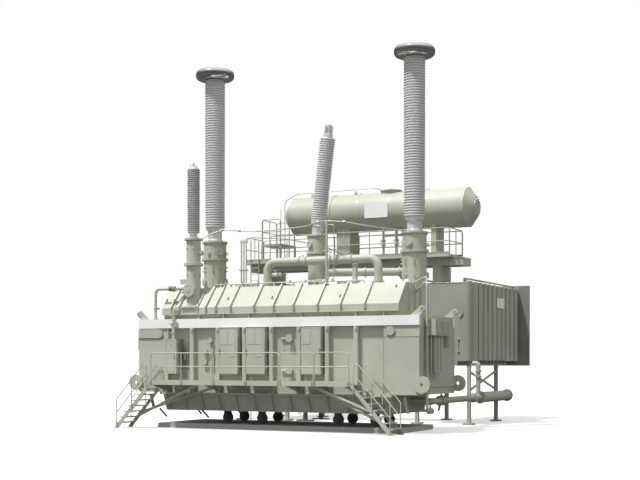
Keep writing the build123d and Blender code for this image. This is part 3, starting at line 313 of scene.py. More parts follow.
def build_materials(settings):
    """Every finish of the transformer; the bushings' lengths run along their axes, in metres."""
    coat = coat_group()
    bare = bare_group()
    skin = bushing_group()
    body = settings.body_colour
    shed = {"Rubber": tinted(settings.shed_colour)}
    dark_shed = {"Rubber": tinted(settings.shed_colour, 0.65)}
    lean = {"Foot": tuple(TILTED_FOOT), "Axis": tuple(TILTED_AXIS)}
    finish_material("tank_coat", coat, {"Coat": tinted(body)})
    finish_material("hood_coat", coat, {"Coat": tinted(body), "Dirt amount": 0.12})
    finish_material("fin_coat", coat, {"Coat": tinted(body, 0.92), "Dirt amount": 0.35})
    # Cooler panels: the body coat darkened to 0.74 as painted shade.
    finish_material("panel_shade_paint", coat, {"Coat": tinted(body, 0.74), "Dirt amount": 0.2})
    finish_material("shaded_paint", coat, {"Coat": tinted(body, 0.5), "Dirt amount": 0.4})
    finish_material("rail_coat", coat, {"Coat": tinted(body), "Edge amount": 0.5})
    finish_material("band_paint", coat, {"Coat": tinted(settings.band_colour), "Dirt amount": 0.06})
    finish_material("cast_slab", concrete_group(), {"Cement": (0.5, 0.502, 0.488, 1.0)})
    finish_material("wheel_steel", coat, {"Coat": (0.1, 0.107, 0.09, 1.0), "Dirt amount": 0.5})
    finish_material("hv_sheds", skin, {**shed, "Neck end": 8.74, "Cap start": 15.34})
    finish_material("neutral_sheds", skin, {**dark_shed, "Neck end": 8.19, "Cap start": 10.925})
    finish_material("tilted_sheds", skin, {**shed, **lean, "Neck end": 0.46, "Cap start": 4.075})
    dull_metal = {"Metal": (0.85, 0.86, 0.86, 1.0), "Smoothness": 0.28}
    finish_material("aluminium", bare, dull_metal, metallic=0.4)
    bright_metal = {"Metal": (0.86, 0.86, 0.87, 1.0), "Smoothness": 0.05, "Brushing": 0.02}
    finish_material("chrome", bare, bright_metal, metallic=1.0)
    finish_material("handle_red", coat, {"Coat": (0.55, 0.02, 0.02, 1.0)})


NODE_FINISH = {
    "plinth": "cast_slab",
    "rail_wheels": "wheel_steel",
    "bogie_frames": "wheel_steel",
    "tank_belt": "band_paint",
    "hood": "hood_coat",
    "hv_bushing_left": "hv_sheds",
    "hv_bushing_right": "hv_sheds",
    "neutral_bushing": "neutral_sheds",
    "tertiary_bushing": "tilted_sheds",
    "corona_shield_left": "chrome",
    "corona_shield_right": "chrome",
    "radiators_left": "fin_coat",
    "radiators_right": "fin_coat",
    # The cooler panels take the coat darkened as painted shade.
    "cooler_panels_left": "panel_shade_paint",
    "cooler_panels_right": "panel_shade_paint",
    "cooler_base_left": "shaded_paint",
    "cooler_base_right": "shaded_paint",
    "walkway_railing": "rail_coat",
    "stair_handrails_left": "rail_coat",
    "stair_handrails_right": "rail_coat",
    "platform_railings": "rail_coat",
    "upper_railings": "rail_coat",
    "ladder": "rail_coat",
}


# Settings


class TRANSFORMER_PG_settings(bpy.types.PropertyGroup):
    """Colours and sizes that a user would change."""

    body_colour: bpy.props.FloatVectorProperty(
        name="Body colour",
        description="Grey-green paint of the tank, hood and coolers",
        subtype="COLOR",
        default=(0.435, 0.462, 0.365),
        min=0.0,
        max=1.0,
    )
    band_colour: bpy.props.FloatVectorProperty(
        name="Band colour",
        description="Paint of the belt round the tank",
        subtype="COLOR",
        default=(0.86, 0.87, 0.86),
        min=0.0,
        max=1.0,
    )
    shed_colour: bpy.props.FloatVectorProperty(
        name="Shed colour",
        description="Silicone rubber of the bushings' sheds",
        subtype="COLOR",
        default=(0.62, 0.62, 0.62),
        min=0.0,
        max=1.0,
    )
    bolt_size: bpy.props.FloatProperty(
        name="Bolt size",
        description="Radius of the largest flange bolts' heads",
        unit="LENGTH",
        default=0.02,
        min=0.005,
        max=0.03,
    )
    camera_height: bpy.props.FloatProperty(
        name="Camera height",
        description="Height of the camera above the ground",
        unit="LENGTH",
        default=2.806,
        min=0.1,
    )


# Forms


def rounded(points, bend, steps=5):
    """The corners of a broken line turned into short arcs."""
    points = [Vector(point) for point in points]
    path = [points[0]]
    for before, corner, after in zip(points, points[1:], points[2:]):
        reach = min(bend, (before - corner).length / 2, (after - corner).length / 2)
        start = corner + (before - corner).normalized() * reach
        end = corner + (after - corner).normalized() * reach
        for step in range(steps + 1):
            share = step / steps
            path.append(start.lerp(corner, share).lerp(corner.lerp(end, share), share))
    path.append(points[-1])
    return path


def heading(degrees):
    """A level direction; 0 points to the transformer's right end and -90 to its front."""
    angle = math.radians(degrees)
    return Vector((math.cos(angle), math.sin(angle), 0.0))


def around(centre, radius, count, first=0.0):
    """Points on a level circle with their outward directions, from an angle in degrees."""
    for index in range(count):
        outward = heading(first + 360.0 * index / count)
        yield Vector(centre) + outward * radius, outward


def circle(centre, axis, radius, count, first=0.0):
    """Points on a circle about any axis, from an angle in radians."""
    across = axis.orthogonal().normalized()
    other = axis.cross(across)
    for index in range(count):
        angle = 2 * math.pi * index / count + first
        yield Vector(centre) + (across * math.cos(angle) + other * math.sin(angle)) * radius


class Form:
    """Gathers turned, boxed and bent forms into one mesh."""

    def __init__(self):
        self.mesh = bmesh.new()

    def rod(self, start, end, radius, tip=None, sides=16):
        """A round bar between two points, tapered to the tip's radius if one is given."""
        start, end = Vector(start), Vector(end)
        along = end - start
        turn = Vector((0, 0, 1)).rotation_difference(along).to_matrix().to_4x4()
        bmesh.ops.create_cone(
            self.mesh,
            cap_ends=True,
            segments=sides,
            radius1=radius,
            radius2=radius if tip is None else tip,
            depth=along.length,
            matrix=Matrix.Translation((start + end) / 2) @ turn,
        )

    def box(self, low, high):
        """A box by two opposite corners."""
        low, high = Vector(low), Vector(high)
        self.slab((low + high) / 2, high - low)

    def slab(self, centre, size, turn=None):
        """A box by its centre and size, turned by a matrix if one is given."""
        place = Matrix.Translation(Vector(centre))
        if turn is not None:
            place = place @ turn.to_4x4()
        bmesh.ops.create_cube(self.mesh, size=1.0, matrix=place @ Matrix.Diagonal((*size, 1.0)))

    def flat_bar(self, start, end, wide, deep):
        """A straight flat bar whose width lies across the transformer's front."""
        start, end = Vector(start), Vector(end)
        along = (end - start).normalized()
        up = (Vector((0, 0, 1)) - along * along.z).normalized()
        basis = Matrix((along, up.cross(along), up)).transposed()
        self.slab((start + end) / 2, ((end - start).length, deep, wide), basis)

    def profile(self, x, thick, outline):
        """A flat web across the transformer with an outline of (Y, Z) corners."""
        ends = []
        for shift in (-thick / 2, thick / 2):
            ends.append([self.mesh.verts.new((x + shift, y, z)) for y, z in outline])
        self.mesh.faces.new(ends[0])
        self.mesh.faces.new(list(reversed(ends[1])))
        for k in range(len(outline)):
            j = (k + 1) % len(outline)
            self.mesh.faces.new((ends[0][k], ends[1][k], ends[1][j], ends[0][j]))

    def tube(self, points, radius, bend=0.1, sides=10, closed=False):
        """A round bar along a broken line with its corners bent, or along a closed line."""
        path = rounded(points, bend) if bend and not closed else [Vector(point) for point in points]
        side = None
        rings = []
        last = len(path) - 1
        for index, point in enumerate(path):
            if closed:
                ahead = path[(index + 1) % len(path)] - path[index - 1]
            else:
                ahead = path[min(index + 1, last)] - path[max(index - 1, 0)]
            ahead.normalize()
            if side is None:
                side = ahead.orthogonal()
            side = (side - ahead * side.dot(ahead)).normalized()
            up = ahead.cross(side)
            ring = []
            for k in range(sides):
                angle = 2 * math.pi * k / sides
                outward = side * math.cos(angle) + up * math.sin(angle)
                ring.append(self.mesh.verts.new(point + outward * radius))
            rings.append(ring)
        following = rings[1:] + rings[:1] if closed else rings[1:]
        for ring, following_ring in zip(rings, following):
            for k in range(sides):
                j = (k + 1) % sides
                self.mesh.faces.new((ring[k], ring[j], following_ring[j], following_ring[k]))
        if not closed:
            self.mesh.faces.new(list(reversed(rings[0])))
            self.mesh.faces.new(rings[-1])

    def ring(self, centre, axis, radius, thickness, sides=8, steps=28):
        """A round bar bent into a closed ring."""
        points = list(circle(centre, Vector(axis).normalized(), radius, steps))
        self.tube(points, thickness, sides=sides, closed=True)

    def bolt(self, seat, axis, size):
        """A hexagon head on its washer, standing on a seat."""
        seat, axis = Vector(seat), Vector(axis).normalized()
        self.rod(seat - axis * 0.004, seat + axis * size * 0.25, size * 1.15, sides=12)
        self.rod(seat + axis * size * 0.2, seat + axis * size * 1.1, size, size * 0.94, sides=6)

    def bolt_ring(self, centre, axis, radius, count, size, both=0.0):
        """A circle of bolts; with both, a nut also stands that far on the other side."""
        axis = Vector(axis).normalized()
        for seat in circle(centre, axis, radius, count, math.pi / count):
            self.bolt(seat, axis, size)
            if both:
                self.bolt(seat - axis * both, -axis, size)

    def handwheel(self, hub, axis, radius):
        """A rim with four spokes on a stem that ends at the hub."""
        hub, axis = Vector(hub), Vector(axis).normalized()
        self.ring(hub, axis, radius, radius * 0.09)
        across = axis.orthogonal().normalized()
        other = axis.cross(across)
        for spoke in (across, other):
            self.rod(hub - spoke * radius, hub + spoke * radius, radius * 0.06, sides=8)
        self.rod(hub - axis * radius * 0.8, hub + axis * radius * 0.15, radius * 0.14, sides=12)

    def piece(self, name, finish, body=BODY, bevel=0.0):
        """Turns what was gathered into an object that rides on a body.

        The finish names a material: tank_paint, fin_paint and rail_paint are the frame's own
        plain paints, and every other one is made in this file.
        """
        bmesh.ops.recalc_face_normals(self.mesh, faces=self.mesh.faces)
        for face in self.mesh.faces:
            face.smooth = True
        for edge in self.mesh.edges:
            if len(edge.link_faces) == 2 and edge.calc_face_angle(0.0) > math.radians(38.0):
                edge.smooth = False
        mesh = bpy.data.meshes.new(name)
        self.mesh.to_mesh(mesh)
        self.mesh.free()
        made = bpy.data.objects.new(name, mesh)
        bpy.context.scene.collection.objects.link(made)
        mesh.materials.append(bpy.data.materials[finish])
        if bevel:
            softened = made.modifiers.new("softened edges", "BEVEL")
            softened.width = bevel
            softened.segments = 2
            softened.limit_method = "ANGLE"
        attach(made, body)
        return made


# Places on the transformer, in metres


def limits(node):
    """A node's low and high corner, read from the frame."""
    low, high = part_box(node)
    return Vector(low), Vector(high)


UP = Vector((0.0, 0.0, 1.0))
HV_X = 4.78
HV_Y = 1.6
NEUTRAL_X = -4.07
NEUTRAL_Y = -1.32
TILTED_X = 0.85
TILTED_Y = 0.5
TILT = math.radians(7.0)
TILTED_FOOT = Vector((TILTED_X, TILTED_Y, 8.05))
TILTED_AXIS = Vector((math.sin(TILT), 0.0, math.cos(TILT)))
OIL_PIPE_Y = -0.3
OIL_PIPE_Z = 6.93
BRANCH_Z = 6.4
BOTTOM_PIPE_X = 6.15
BOTTOM_PIPE_Z = 1.21
DRAIN_X = 6.5
DRAIN_VALVE_Y = -1.075
SIDE_VALVE = Vector((-4.88, -1.7, 5.85))
HOOD_TOP = limits("hood")[1].z
SLOPE_FOOT = Vector((0.0, -1.67, 5.04))
SLOPE_HEAD = Vector((0.0, -0.91, 5.90))
SLOPE = (SLOPE_HEAD - SLOPE_FOOT).normalized()
SLOPE_OUT = Vector((0.0, -SLOPE.z, SLOPE.y))
HOOD_RIBS = (-4.93, -3.64, -3.24, -2.76, -2.06, -0.94, -0.04, 0.87, 1.95, 2.96, 4.01)
RIB_OUTLINE = ((1.6, 4.8), (1.79, 4.8), (1.79, 5.08), (0.98, 5.97), (0.85, 5.97))
TROUGH_OUTLINE = ((1.6, 0.76), (1.79, 0.8), (2.06, 1.41), (1.85, 1.41))
FRONT_COVERS = ((-2.9, 3.66), (-3.15, 3.2), (-2.86, 3.19), (-3.17, 2.75), (-2.83, 2.72))
STUB_X = 0.83
STUB_LEVELS = (3.71, 2.42)
END_COVER = (5.21, 3.96)
DECK_LOW, DECK_HIGH = limits("walkway_deck")
DECK_TOP = 1.9
DECK_POSTS = (-5.05, -3.56, -2.06, -0.54, 0.92, 2.43, 3.95)
STAIR_RUN = 1.73
STAIR_STEPS = 8
CABINET_LEFTS = (-2.32, -1.06, 1.45)
DOOR_WIDTH = 0.87
PLATFORM_LOW, PLATFORM_HIGH = limits("platform_deck")
PLATFORM_TOP = 7.52
SHELL_LOW, SHELL_HIGH = limits("conservator")
SHELL_Y = 5.9
SHELL_Z = 9.58
SHELL_RADIUS = 0.87
HATCH_X = 1.936
COOLER_TOP = 6.26
COOLER_PLATES = 10
PLATES_START = 5.91
PLATES_END = 12.5
PLATE_PITCH = (PLATES_END - PLATES_START) / COOLER_PLATES


def both_sides(point):
    """A point on the front and its mirror on the back."""
    return (Vector(point), Vector((point[0], -point[1], point[2])))


def spread(side, near, far):
    """The low and the high X of a stretch on the left or the right of the middle."""
    return sorted((side * near, side * far))


def slope_turn(along):
    """Turns a box so that it lies on the hood's slope and its Y runs up it."""
    level = Vector((1, 0, 0))
    return Matrix((level, along, level.cross(along))).transposed()


# Finishes of the frame


class TRANSFORMER_OT_finishes(bpy.types.Operator):
    """Give every piece of the frame its paint, metal or rubber"""

    bl_idname = "transformer.finishes"
    bl_label = "Paint the frame"

    def execute(self, context):
        build_materials(context.scene.transformer)
        for name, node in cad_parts.items():
            node.data.materials.clear()
            node.data.materials.append(bpy.data.materials[NODE_FINISH.get(name, "tank_coat")])
        return {"FINISHED"}


# Turrets and bushings


def hv_turret_bolts(size):
    """Flange bolts, round covers, knobs and lifting eyes of both high-voltage turrets."""
    form = Form()
    for side, cover_angle in ((-1, -38), (1, -95)):
        foot = Vector((side * HV_X, HV_Y, 0.0))
        form.bolt_ring(foot + UP * 7.37, UP, 0.545, 28, size, both=0.1)
        form.bolt_ring(foot + UP * 8.106, UP, 0.53, 28, size, both=0.06)
        form.bolt_ring(foot + UP * 8.156, UP, 0.345, 16, size)
        for _, outward in around(foot, 0.5, 6, 2.0):
            form.bolt_ring(foot + outward * 0.59 + UP * 6.32, outward, 0.105, 8, size * 0.6)
        for angle in (cover_angle, cover_angle + 180):
            outward = heading(angle)
            form.bolt_ring(foot + outward * 0.58 + UP * 7.65, outward, 0.13, 8, size * 0.6)
        for level in (6.8, 6.96):
            for place, outward in around(foot + UP * level, 0.5, 8, -116.0):
                form.rod(place - outward * 0.02, place + outward * 0.04, 0.04, sides=14)
                form.rod(place + outward * 0.03, place + outward * 0.065, 0.026, sides=6)
        for place, outward in around(foot + UP * 7.56, 0.5, 4, -90.0):
            form.slab(place + outward * 0.02, (0.12, 0.12, 0.14))
            form.ring(place + outward * 0.12, outward.cross(UP), 0.055, 0.018)
    form.piece("hv_turret_bolts", "tank_paint")


def neutral_turret_bolts(size):
    """Flange bolts, side cover and knobs of the turret at the hood's front left."""
    form = Form()
    x, y = NEUTRAL_X, NEUTRAL_Y
    form.bolt_ring((x, y, 6.91), UP, 0.36, 20, size, both=0.09)
    form.bolt_ring((x, y, 7.96), UP, 0.35, 20, size, both=0.06)
    form.bolt_ring((x, y - 0.42, 5.77), (0, -1, 0), 0.235, 14, size * 0.7)
    form.slab((x, y - 0.425, 5.77), (0.16, 0.02, 0.16))
    form.bolt_ring((x + 0.43, y, 7.35), (1, 0, 0), 0.085, 6, size * 0.6)
    for level in (6.45, 7.55):
        for place, outward in around((x, y, level), 0.3, 6, -120.0):
            form.rod(place - outward * 0.02, place + outward * 0.04, 0.03, sides=12)
    form.slab((x - 0.55, y, 6.16), (0.12, 0.16, 0.16))
    form.piece("neutral_turret_bolts", "tank_paint")


def tilted_turret_bolts(size):
    """Flange and cover bolts of the turret under the tilted bushing."""
    form = Form()
    foot = Vector((TILTED_X, TILTED_Y, 0.0))
    form.bolt_ring(foot + UP * 7.33, UP, 0.415, 24, size, both=0.08)
    form.bolt_ring(foot + UP * 8.05, UP, 0.405, 24, size, both=0.06)
    form.bolt_ring(foot + UP * 5.96, UP, 0.42, 24, size)
    for angle in (-110, 70):
        outward = heading(angle)
        form.bolt_ring(foot + UP * 7.65 + outward * 0.475, outward, 0.105, 8, size * 0.6)
    form.piece("tilted_turret_bolts", "tank_paint")


def bushing_metalwork():
    """Bright ribs round the bushings' necks, and the caps and terminals on their tops."""
    form = Form()
    for side in (-1, 1):
        foot = Vector((side * HV_X, HV_Y, 0.0))
        for place, _ in around(foot + UP * 8.16, 0.295, 12, 15.0):
            form.rod(place, place + UP * 0.42, 0.022, sides=8)
        for level in (8.2, 8.54):
            form.ring(foot + UP * level, UP, 0.3, 0.02, steps=40)
        form.rod(foot + UP * 8.62, foot + UP * 8.7, 0.385, 0.4, sides=48)
        form.ring(foot + UP * 15.68, UP, 0.52, 0.03, steps=48)
        form.rod(foot + UP * 15.69, foot + UP * 15.74, 0.16, 0.12, sides=32)
    foot = Vector((NEUTRAL_X, NEUTRAL_Y, 0.0))
    form.rod(foot + UP * 10.9, foot + UP * 10.96, 0.2, 0.17, sides=32)
    form.bolt_ring(foot + UP * 8.01, UP, 0.21, 10, 0.016)
    for place in circle(TILTED_FOOT, TILTED_AXIS, 0.22, 12):
        form.rod(place + TILTED_AXIS * 0.07, place + TILTED_AXIS * 0.36, 0.018, sides=8)
    for place in circle(TILTED_FOOT, TILTED_AXIS, 0.16, 6, 0.4):
        form.rod(place + TILTED_AXIS * 4.18, place + TILTED_AXIS * 4.56, 0.03, sides=12)
    form.rod(TILTED_FOOT + TILTED_AXIS * 4.16, TILTED_FOOT + TILTED_AXIS * 4.2, 0.2, 0.2, sides=32)
    for place, _ in around(foot + UP * 10.95, 0.13, 4, 20.0):
        form.rod(place, place + UP * 0.14, 0.022, sides=10)
    form.piece("bushing_metalwork", "aluminium")


class TRANSFORMER_OT_turret_bolts(bpy.types.Operator):
    """Bolt the turrets' flanges and round covers, and set their knobs and lifting eyes"""

    bl_idname = "transformer.turret_bolts"
    bl_label = "Bolt the turrets"

    def execute(self, context):
        size = context.scene.transformer.bolt_size
        hv_turret_bolts(size)
        neutral_turret_bolts(size)
        tilted_turret_bolts(size)
        return {"FINISHED"}


class TRANSFORMER_OT_bushing_metal(bpy.types.Operator):
    """Rib the bright necks of the bushings and crown their tops"""

    bl_idname = "transformer.bushing_metal"
    bl_label = "Fit the bushings' metalwork"

    def execute(self, context):
        bushing_metalwork()
        return {"FINISHED"}


# Oil pipes


def oil_pipe_fittings(size):
    """Flange bolts, valves and handwheels of the pipes on the hood and under the coolers."""
    form = Form()
    y = OIL_PIPE_Y
    for x in (0.448, 0.752, 2.143, 2.826):
        form.bolt_ring((x + 0.025, y, OIL_PIPE_Z), (1, 0, 0), 0.195, 12, size * 0.8, both=0.05)
    for x in (-1.07, 3.99):
        form.bolt_ring((x, y, 5.96), UP, 0.235, 12, size * 0.8)
    form.slab((2.953, y, 6.02), (0.34, 0.34, 0.05))
    form.slab((2.953, y, 6.73), (0.26, 0.26, 0.04))
    form.slab((0.6, y, 7.13), (0.06, 0.04, 0.1))
    form.rod((-0.82, y, BRANCH_Z), (-0.6, y, BRANCH_Z), 0.085, sides=20)
    form.rod((-0.71, y, BRANCH_Z), (-0.71, y, 6.56), 0.03, sides=12)
    form.handwheel((-0.71, y, 6.58), UP, 0.09)
    for x in (-0.77, -0.59, -0.45):
        form.bolt_ring((x + 0.025, y, BRANCH_Z), (1, 0, 0), 0.08, 8, size * 0.5, both=0.05)
    for x in (-BOTTOM_PIPE_X, BOTTOM_PIPE_X):
        for y in (0.9, 1.25, 5.0):
            form.bolt_ring((x, y + 0.025, BOTTOM_PIPE_Z), (0, 1, 0), 0.175, 12, size * 0.8, both=0.05)
        for y in (5.9, 9.8):
            form.bolt_ring((x, y + 0.025, BOTTOM_PIPE_Z), (0, 1, 0), 0.255, 16, size * 0.8, both=0.05)
        form.rod((x, 1.075, 1.33), (x, 1.075, 1.62), 0.035, sides=12)
        form.handwheel((x, 1.075, 1.66), UP, 0.16)
        form.rod((x, 5.67, 2.1), (x, 5.67, 2.16), 0.15, sides=24)
        form.rod((x, 5.67, 2.34), (x, 5.67, 2.4), 0.15, sides=24)
        for z in (2.16, 2.4):
            form.bolt_ring((x, 5.67, z), UP, 0.125, 10, size * 0.6, both=0.06)
    form.piece("oil_pipe_fittings", "tank_paint")


def drain_fittings(size):
    """Flanges, clamps and the upper valve of the drain pipe on the right end."""
    form = Form()
    x = DRAIN_X
    for y in (-1.2, -0.95):
        form.bolt_ring((x, y + 0.02, 0.87), (0, 1, 0), 0.095, 8, size * 0.6, both=0.04)
    form.rod((x, DRAIN_VALVE_Y, 0.99), (x, DRAIN_VALVE_Y, 1.1), 0.03, sides=12)
    for z in (1.6, 4.12):
        form.bolt_ring((x, -1.41, z + 0.025), UP, 0.072, 6, size * 0.5, both=0.05)
        form.box((6.39, -1.44, z - 0.02), (6.45, -1.38, z + 0.02))
    form.rod((6.36, -1.16, 5.81), (6.2, -0.92, 5.79), 0.09, sides=16)
    form.rod((6.3, -1.07, 5.8), (6.3, -1.07, 6.02), 0.03, sides=12)
    form.handwheel((6.3, -1.07, 6.03), UP, 0.08)
    form.tube([(6.32, -1.02, 5.82), (6.2, -0.7, 6.1), (5.9, -0.45, 6.05), (5.45, -0.3, 5.86)], 0.035, 0.15)
    form.piece("drain_fittings", "tank_paint")


def side_valve(size):
    """The valve in the pipe over the left end, and that pipe's foot flange and clamp."""
    form = Form()
    x, y, z = SIDE_VALVE
    form.rod((x - 0.12, y, z), (x + 0.12, y, z), 0.1, sides=20)
    form.rod((x, y, z), (x, y - 0.16, z), 0.035, sides=12)
    form.handwheel((x, y - 0.18, z), (0, -1, 0), 0.11)
    for shift in (0.045, 0.125):
        form.bolt_ring((x + shift, y, z), (1, 0, 0), 0.09, 8, size * 0.6, both=0.03)
    form.bolt_ring((-5.73, y, 4.59), UP, 0.09, 8, size * 0.6)
    form.box((-5.8, -1.67, 5.0), (-5.66, -1.5, 5.06))
    form.piece("side_valve", "wheel_steel")


def valve_levers():
    """Red levers of the branch valve on the hood and of the drain valve."""
    form = Form()
    form.box((-0.4, OIL_PIPE_Y - 0.015, BRANCH_Z - 0.015), (-0.14, OIL_PIPE_Y + 0.015, BRANCH_Z + 0.015))
    form.slab((DRAIN_X, DRAIN_VALVE_Y, 1.12), (0.05, 0.34, 0.03))
    form.slab((DRAIN_X, -1.36, 1.05), (0.04, 0.04, 0.16))
    form.piece("valve_levers", "handle_red")


class TRANSFORMER_OT_pipework(bpy.types.Operator):
    """Bolt the oil pipes' flanges and fit the valves, their wheels and red levers"""

    bl_idname = "transformer.pipework"
    bl_label = "Fit valves and pipe flanges"

    def execute(self, context):
        size = context.scene.transformer.bolt_size
        oil_pipe_fittings(size)
        drain_fittings(size)
        side_valve(size)
        valve_levers()
        return {"FINISHED"}


# Hood


def hood_tabs():
    """Small lifting tabs on both slopes."""
    form = Form()
    for x, share in ((-5.36, 0.38), (-2.34, 0.4), (-0.26, 0.4), (2.8, 0.4), (5.08, 0.8)):
        spot = SLOPE_FOOT.lerp(SLOPE_HEAD, share) + Vector((x, 0, 0)) + SLOPE_OUT * 0.03
        for place, along in zip(both_sides(spot), both_sides(SLOPE)):
            form.slab(place, (0.025, 0.12, 0.06), slope_turn(along))
    form.piece("hood_tabs", "wheel_steel", bevel=0.005)


def hood_edge_pipes():
    """Thin pipes, posts, vents and boxes along the hood's top edge, and the tall post behind them."""
    form = Form()
    top = HOOD_TOP
    form.tube([(-3.3, -0.86, top + 0.02), (-3.3, -0.86, top + 0.13), (3.3, -0.86, top + 0.13),
               (3.5, -0.6, top + 0.13), (3.5, -0.6, top)], 0.022, 0.08)
    form.tube([(-2.4, -0.7, top), (-2.4, -0.7, top + 0.1), (1.6, -0.7, top + 0.2),
               (1.85, -0.7, top + 0.2)], 0.018, 0.06)
    for x in (-3.0, -2.5, -1.5, -0.45, 0.45, 1.4, 2.45, 3.2):
        form.box((x - 0.03, -0.9, top), (x + 0.03, -0.82, top + 0.12))
    for x in (-2.75, -1.95, -1.2, -0.6, 0.3, 1.0, 2.2):
        form.rod((x, -0.86, top + 0.1), (x, -0.86, top + 0.22), 0.045, sides=12)
        form.rod((x - 0.06, -0.86, top + 0.13), (x + 0.06, -0.86, top + 0.13), 0.035, sides=10)
    for x, wide in ((-2.3, 0.5), (-1.6, 0.3), (1.55, 0.28), (2.4, 0.36)):
        form.box((x, -0.78, top), (x + wide, -0.58, top + 0.16))
    form.rod((1.97, -0.9, top - 0.02), (1.97, -0.9, 8.46), 0.05, sides=16)
    form.box((1.87, -1.0, top), (2.07, -0.8, top + 0.03))
    form.rod((5.0, 0.2, top), (5.0, 0.2, top + 0.06), 0.24, sides=28)
    form.rod((5.0, 0.2, top + 0.06), (5.0, 0.2, top + 0.2), 0.2, 0.08, sides=28)
    form.piece("hood_edge_pipes", "tank_paint", bevel=0.004)


def hood_edge_bolts():
    """Bolts through the hood's foot on both long sides."""
    form = Form()
    for x in (-4.6, -3.0, -1.4, 0.4, 1.5, 2.5, 3.5, 4.7):
        for point in both_sides((x, -1.725, 4.77)):
            form.bolt(point, (0, 1 if point.y > 0 else -1, 0), 0.018)
    form.piece("hood_edge_bolts", "tank_paint")


def under_turret(x, side):
    """Whether a turret stands on this half of a hood rib."""
    if side > 0:
        return abs(abs(x) - HV_X) < 0.75
    return abs(x - NEUTRAL_X) < 0.6


def hood_rib_webs():
    """Webs that thicken the hood's ribs wherever no turret stands on them."""
    form = Form()
    for x in HOOD_RIBS:
        for side in (-1, 1):
            if not under_turret(x, side):
                form.profile(x, 0.04, [(side * y, z) for y, z in RIB_OUTLINE])
    form.piece("hood_rib_webs", "tank_paint")


class TRANSFORMER_OT_hood_fittings(bpy.types.Operator):
    """Set the lifting tabs, edge pipes, foot bolts and rib webs on the hood"""

    bl_idname = "transformer.hood_fittings"
    bl_label = "Fit the hood"

    def execute(self, context):
        hood_tabs()
        hood_edge_pipes()
        hood_edge_bolts()
        hood_rib_webs()
        return {"FINISHED"}


# Tank


def tank_wall_fittings(size):
    """Stiffener lugs, cover and stub bolts, and small bosses on the tank's long walls."""
    form = Form()
    for index in range(-3, 4):
        for point in both_sides((index * 1.25 + 0.04, -2.0, 4.08)):
            out = -1 if point.y < 0 else 1
            form.slab(point + Vector((0, out * 0.025, 0)), (0.03, 0.06, 0.16))
            form.slab(point + Vector((-0.05, out * 0.012, -0.02)), (0.07, 0.03, 0.08))
    for x, z in FRONT_COVERS:
        form.bolt_ring((x, -1.93, z), (0, -1, 0), 0.09, 8, size * 0.5)
    for z in STUB_LEVELS:
        form.bolt_ring((STUB_X, -2.0, z), (0, -1, 0), 0.125, 8, size * 0.6)
        form.rod((0.45, -1.8, z), (0.45, -1.9, z), 0.05, sides=14)
        form.rod((0.45, -1.87, z), (STUB_X, -1.87, z), 0.035, sides=12)
    x, z = END_COVER
    form.bolt_ring((x, -2.025, z), (0, -1, 0), 0.15, 12, size * 0.6)
    for x, z in ((0.5, 3.28), (0.98, 3.23), (3.72, 3.45), (3.72, 3.28), (3.72, 3.1)):
        form.rod((x, -1.8, z), (x, -1.84, z), 0.03, sides=12)
    for x in (-5.8, -5.3):
        form.bolt_ring((x, -2.015, 3.96), (0, -1, 0), 0.1, 6, size * 0.5)
    form.piece("tank_wall_fittings", "tank_paint", bevel=0.003)


def cover_shade_rings():
    """Dark rings of painted shade that outline the round covers and stubs against their flanges."""
    form = Form()
    for x, z in FRONT_COVERS:
        form.ring((x, -1.914, z), (0, 1, 0), 0.116, 0.013)
    for z in STUB_LEVELS:
        form.ring((STUB_X, -1.984, z), (0, 1, 0), 0.151, 0.013)
    x, z = END_COVER
    form.ring((x, -2.0, z), (0, 1, 0), 0.176, 0.013, steps=40)
    form.piece("cover_shade_rings", "shaded_paint")


def trough_webs():
    """Webs that thicken the ribs of the tapered bottom."""
    form = Form()
    for index in range(-7, 8):
        for side in (-1, 1):
            form.profile(index * 0.83, 0.04, [(side * y, z) for y, z in TROUGH_OUTLINE])
    form.piece("trough_webs", "tank_paint")


def panel_joints():
    """Seams of the flat panels at the tank's four corners."""
    form = Form()
    for side in (-1, 1):
        for y in (-1.97, 1.97):
            x0, x1 = spread(side, 4.92, 6.39)
            form.box((x0, y - 0.012, 3.735), (x1, y + 0.012, 3.75))
            form.tube([(side * 4.925, y, 1.52), (side * 4.925, y, 3.73)], 0.012, 0, sides=6)
    form.piece("panel_joints", "fin_paint")


def end_unit_trim():
    """Conduits, tube bands, lids and latches of the box and tubes on the right end."""
    form = Form()
    form.tube([(6.6, -1.24, 2.3), (6.6, -1.24, 3.9)], 0.03, 0)
    form.tube([(6.45, -1.05, 2.2), (6.7, -1.05, 2.2), (6.7, -1.05, 3.79)], 0.025, 0.08)
    for y in (-0.85, -0.5, -0.15):
        for z in (2.48, 3.1, 3.7):
            form.ring((6.58, y, z), UP, 0.103, 0.012)
    form.box((6.81, -1.2, 3.86), (6.83, -0.62, 4.36))
    form.box((6.81, -0.56, 3.86), (6.83, 0.2, 4.36))
    form.box((6.69, 0.38, 3.36), (6.71, 0.54, 3.83))
    for z in (3.95, 4.27):
        form.slab((6.83, -0.64, z), (0.03, 0.05, 0.08))
    form.piece("end_unit_trim", "rail_paint", bevel=0.004)


def wheel_fittings():
    """Eyes and axle bolts of the bogies, rod ends under the trough, and the box on the left end."""
    form = Form()
    for x in (-1.1, 0.65, 3.2):
        for side in (-1, 1):
            form.ring((x, side * 0.72, 0.69), (0, 1, 0), 0.06, 0.014)
    for x in (-2.75, -1.1, 2.4, 4.05):
        for side in (-1, 1):
            for cheek in (-1, 1):
                face = side * 0.7175 + cheek * 0.16
                form.bolt_ring((x, face, 0.435), (0, cheek, 0), 0.075, 6, 0.012)
    for x in (-5.72, -3.64):
        for side in (-1, 1):
            form.rod((x, side * 1.4, 0.78), (x + 0.36, side * 1.4, 0.44), 0.04, sides=12)
    form.box((-6.47, -1.9, 3.3), (-6.39, -1.5, 3.8))
    form.piece("wheel_fittings", "wheel_steel")


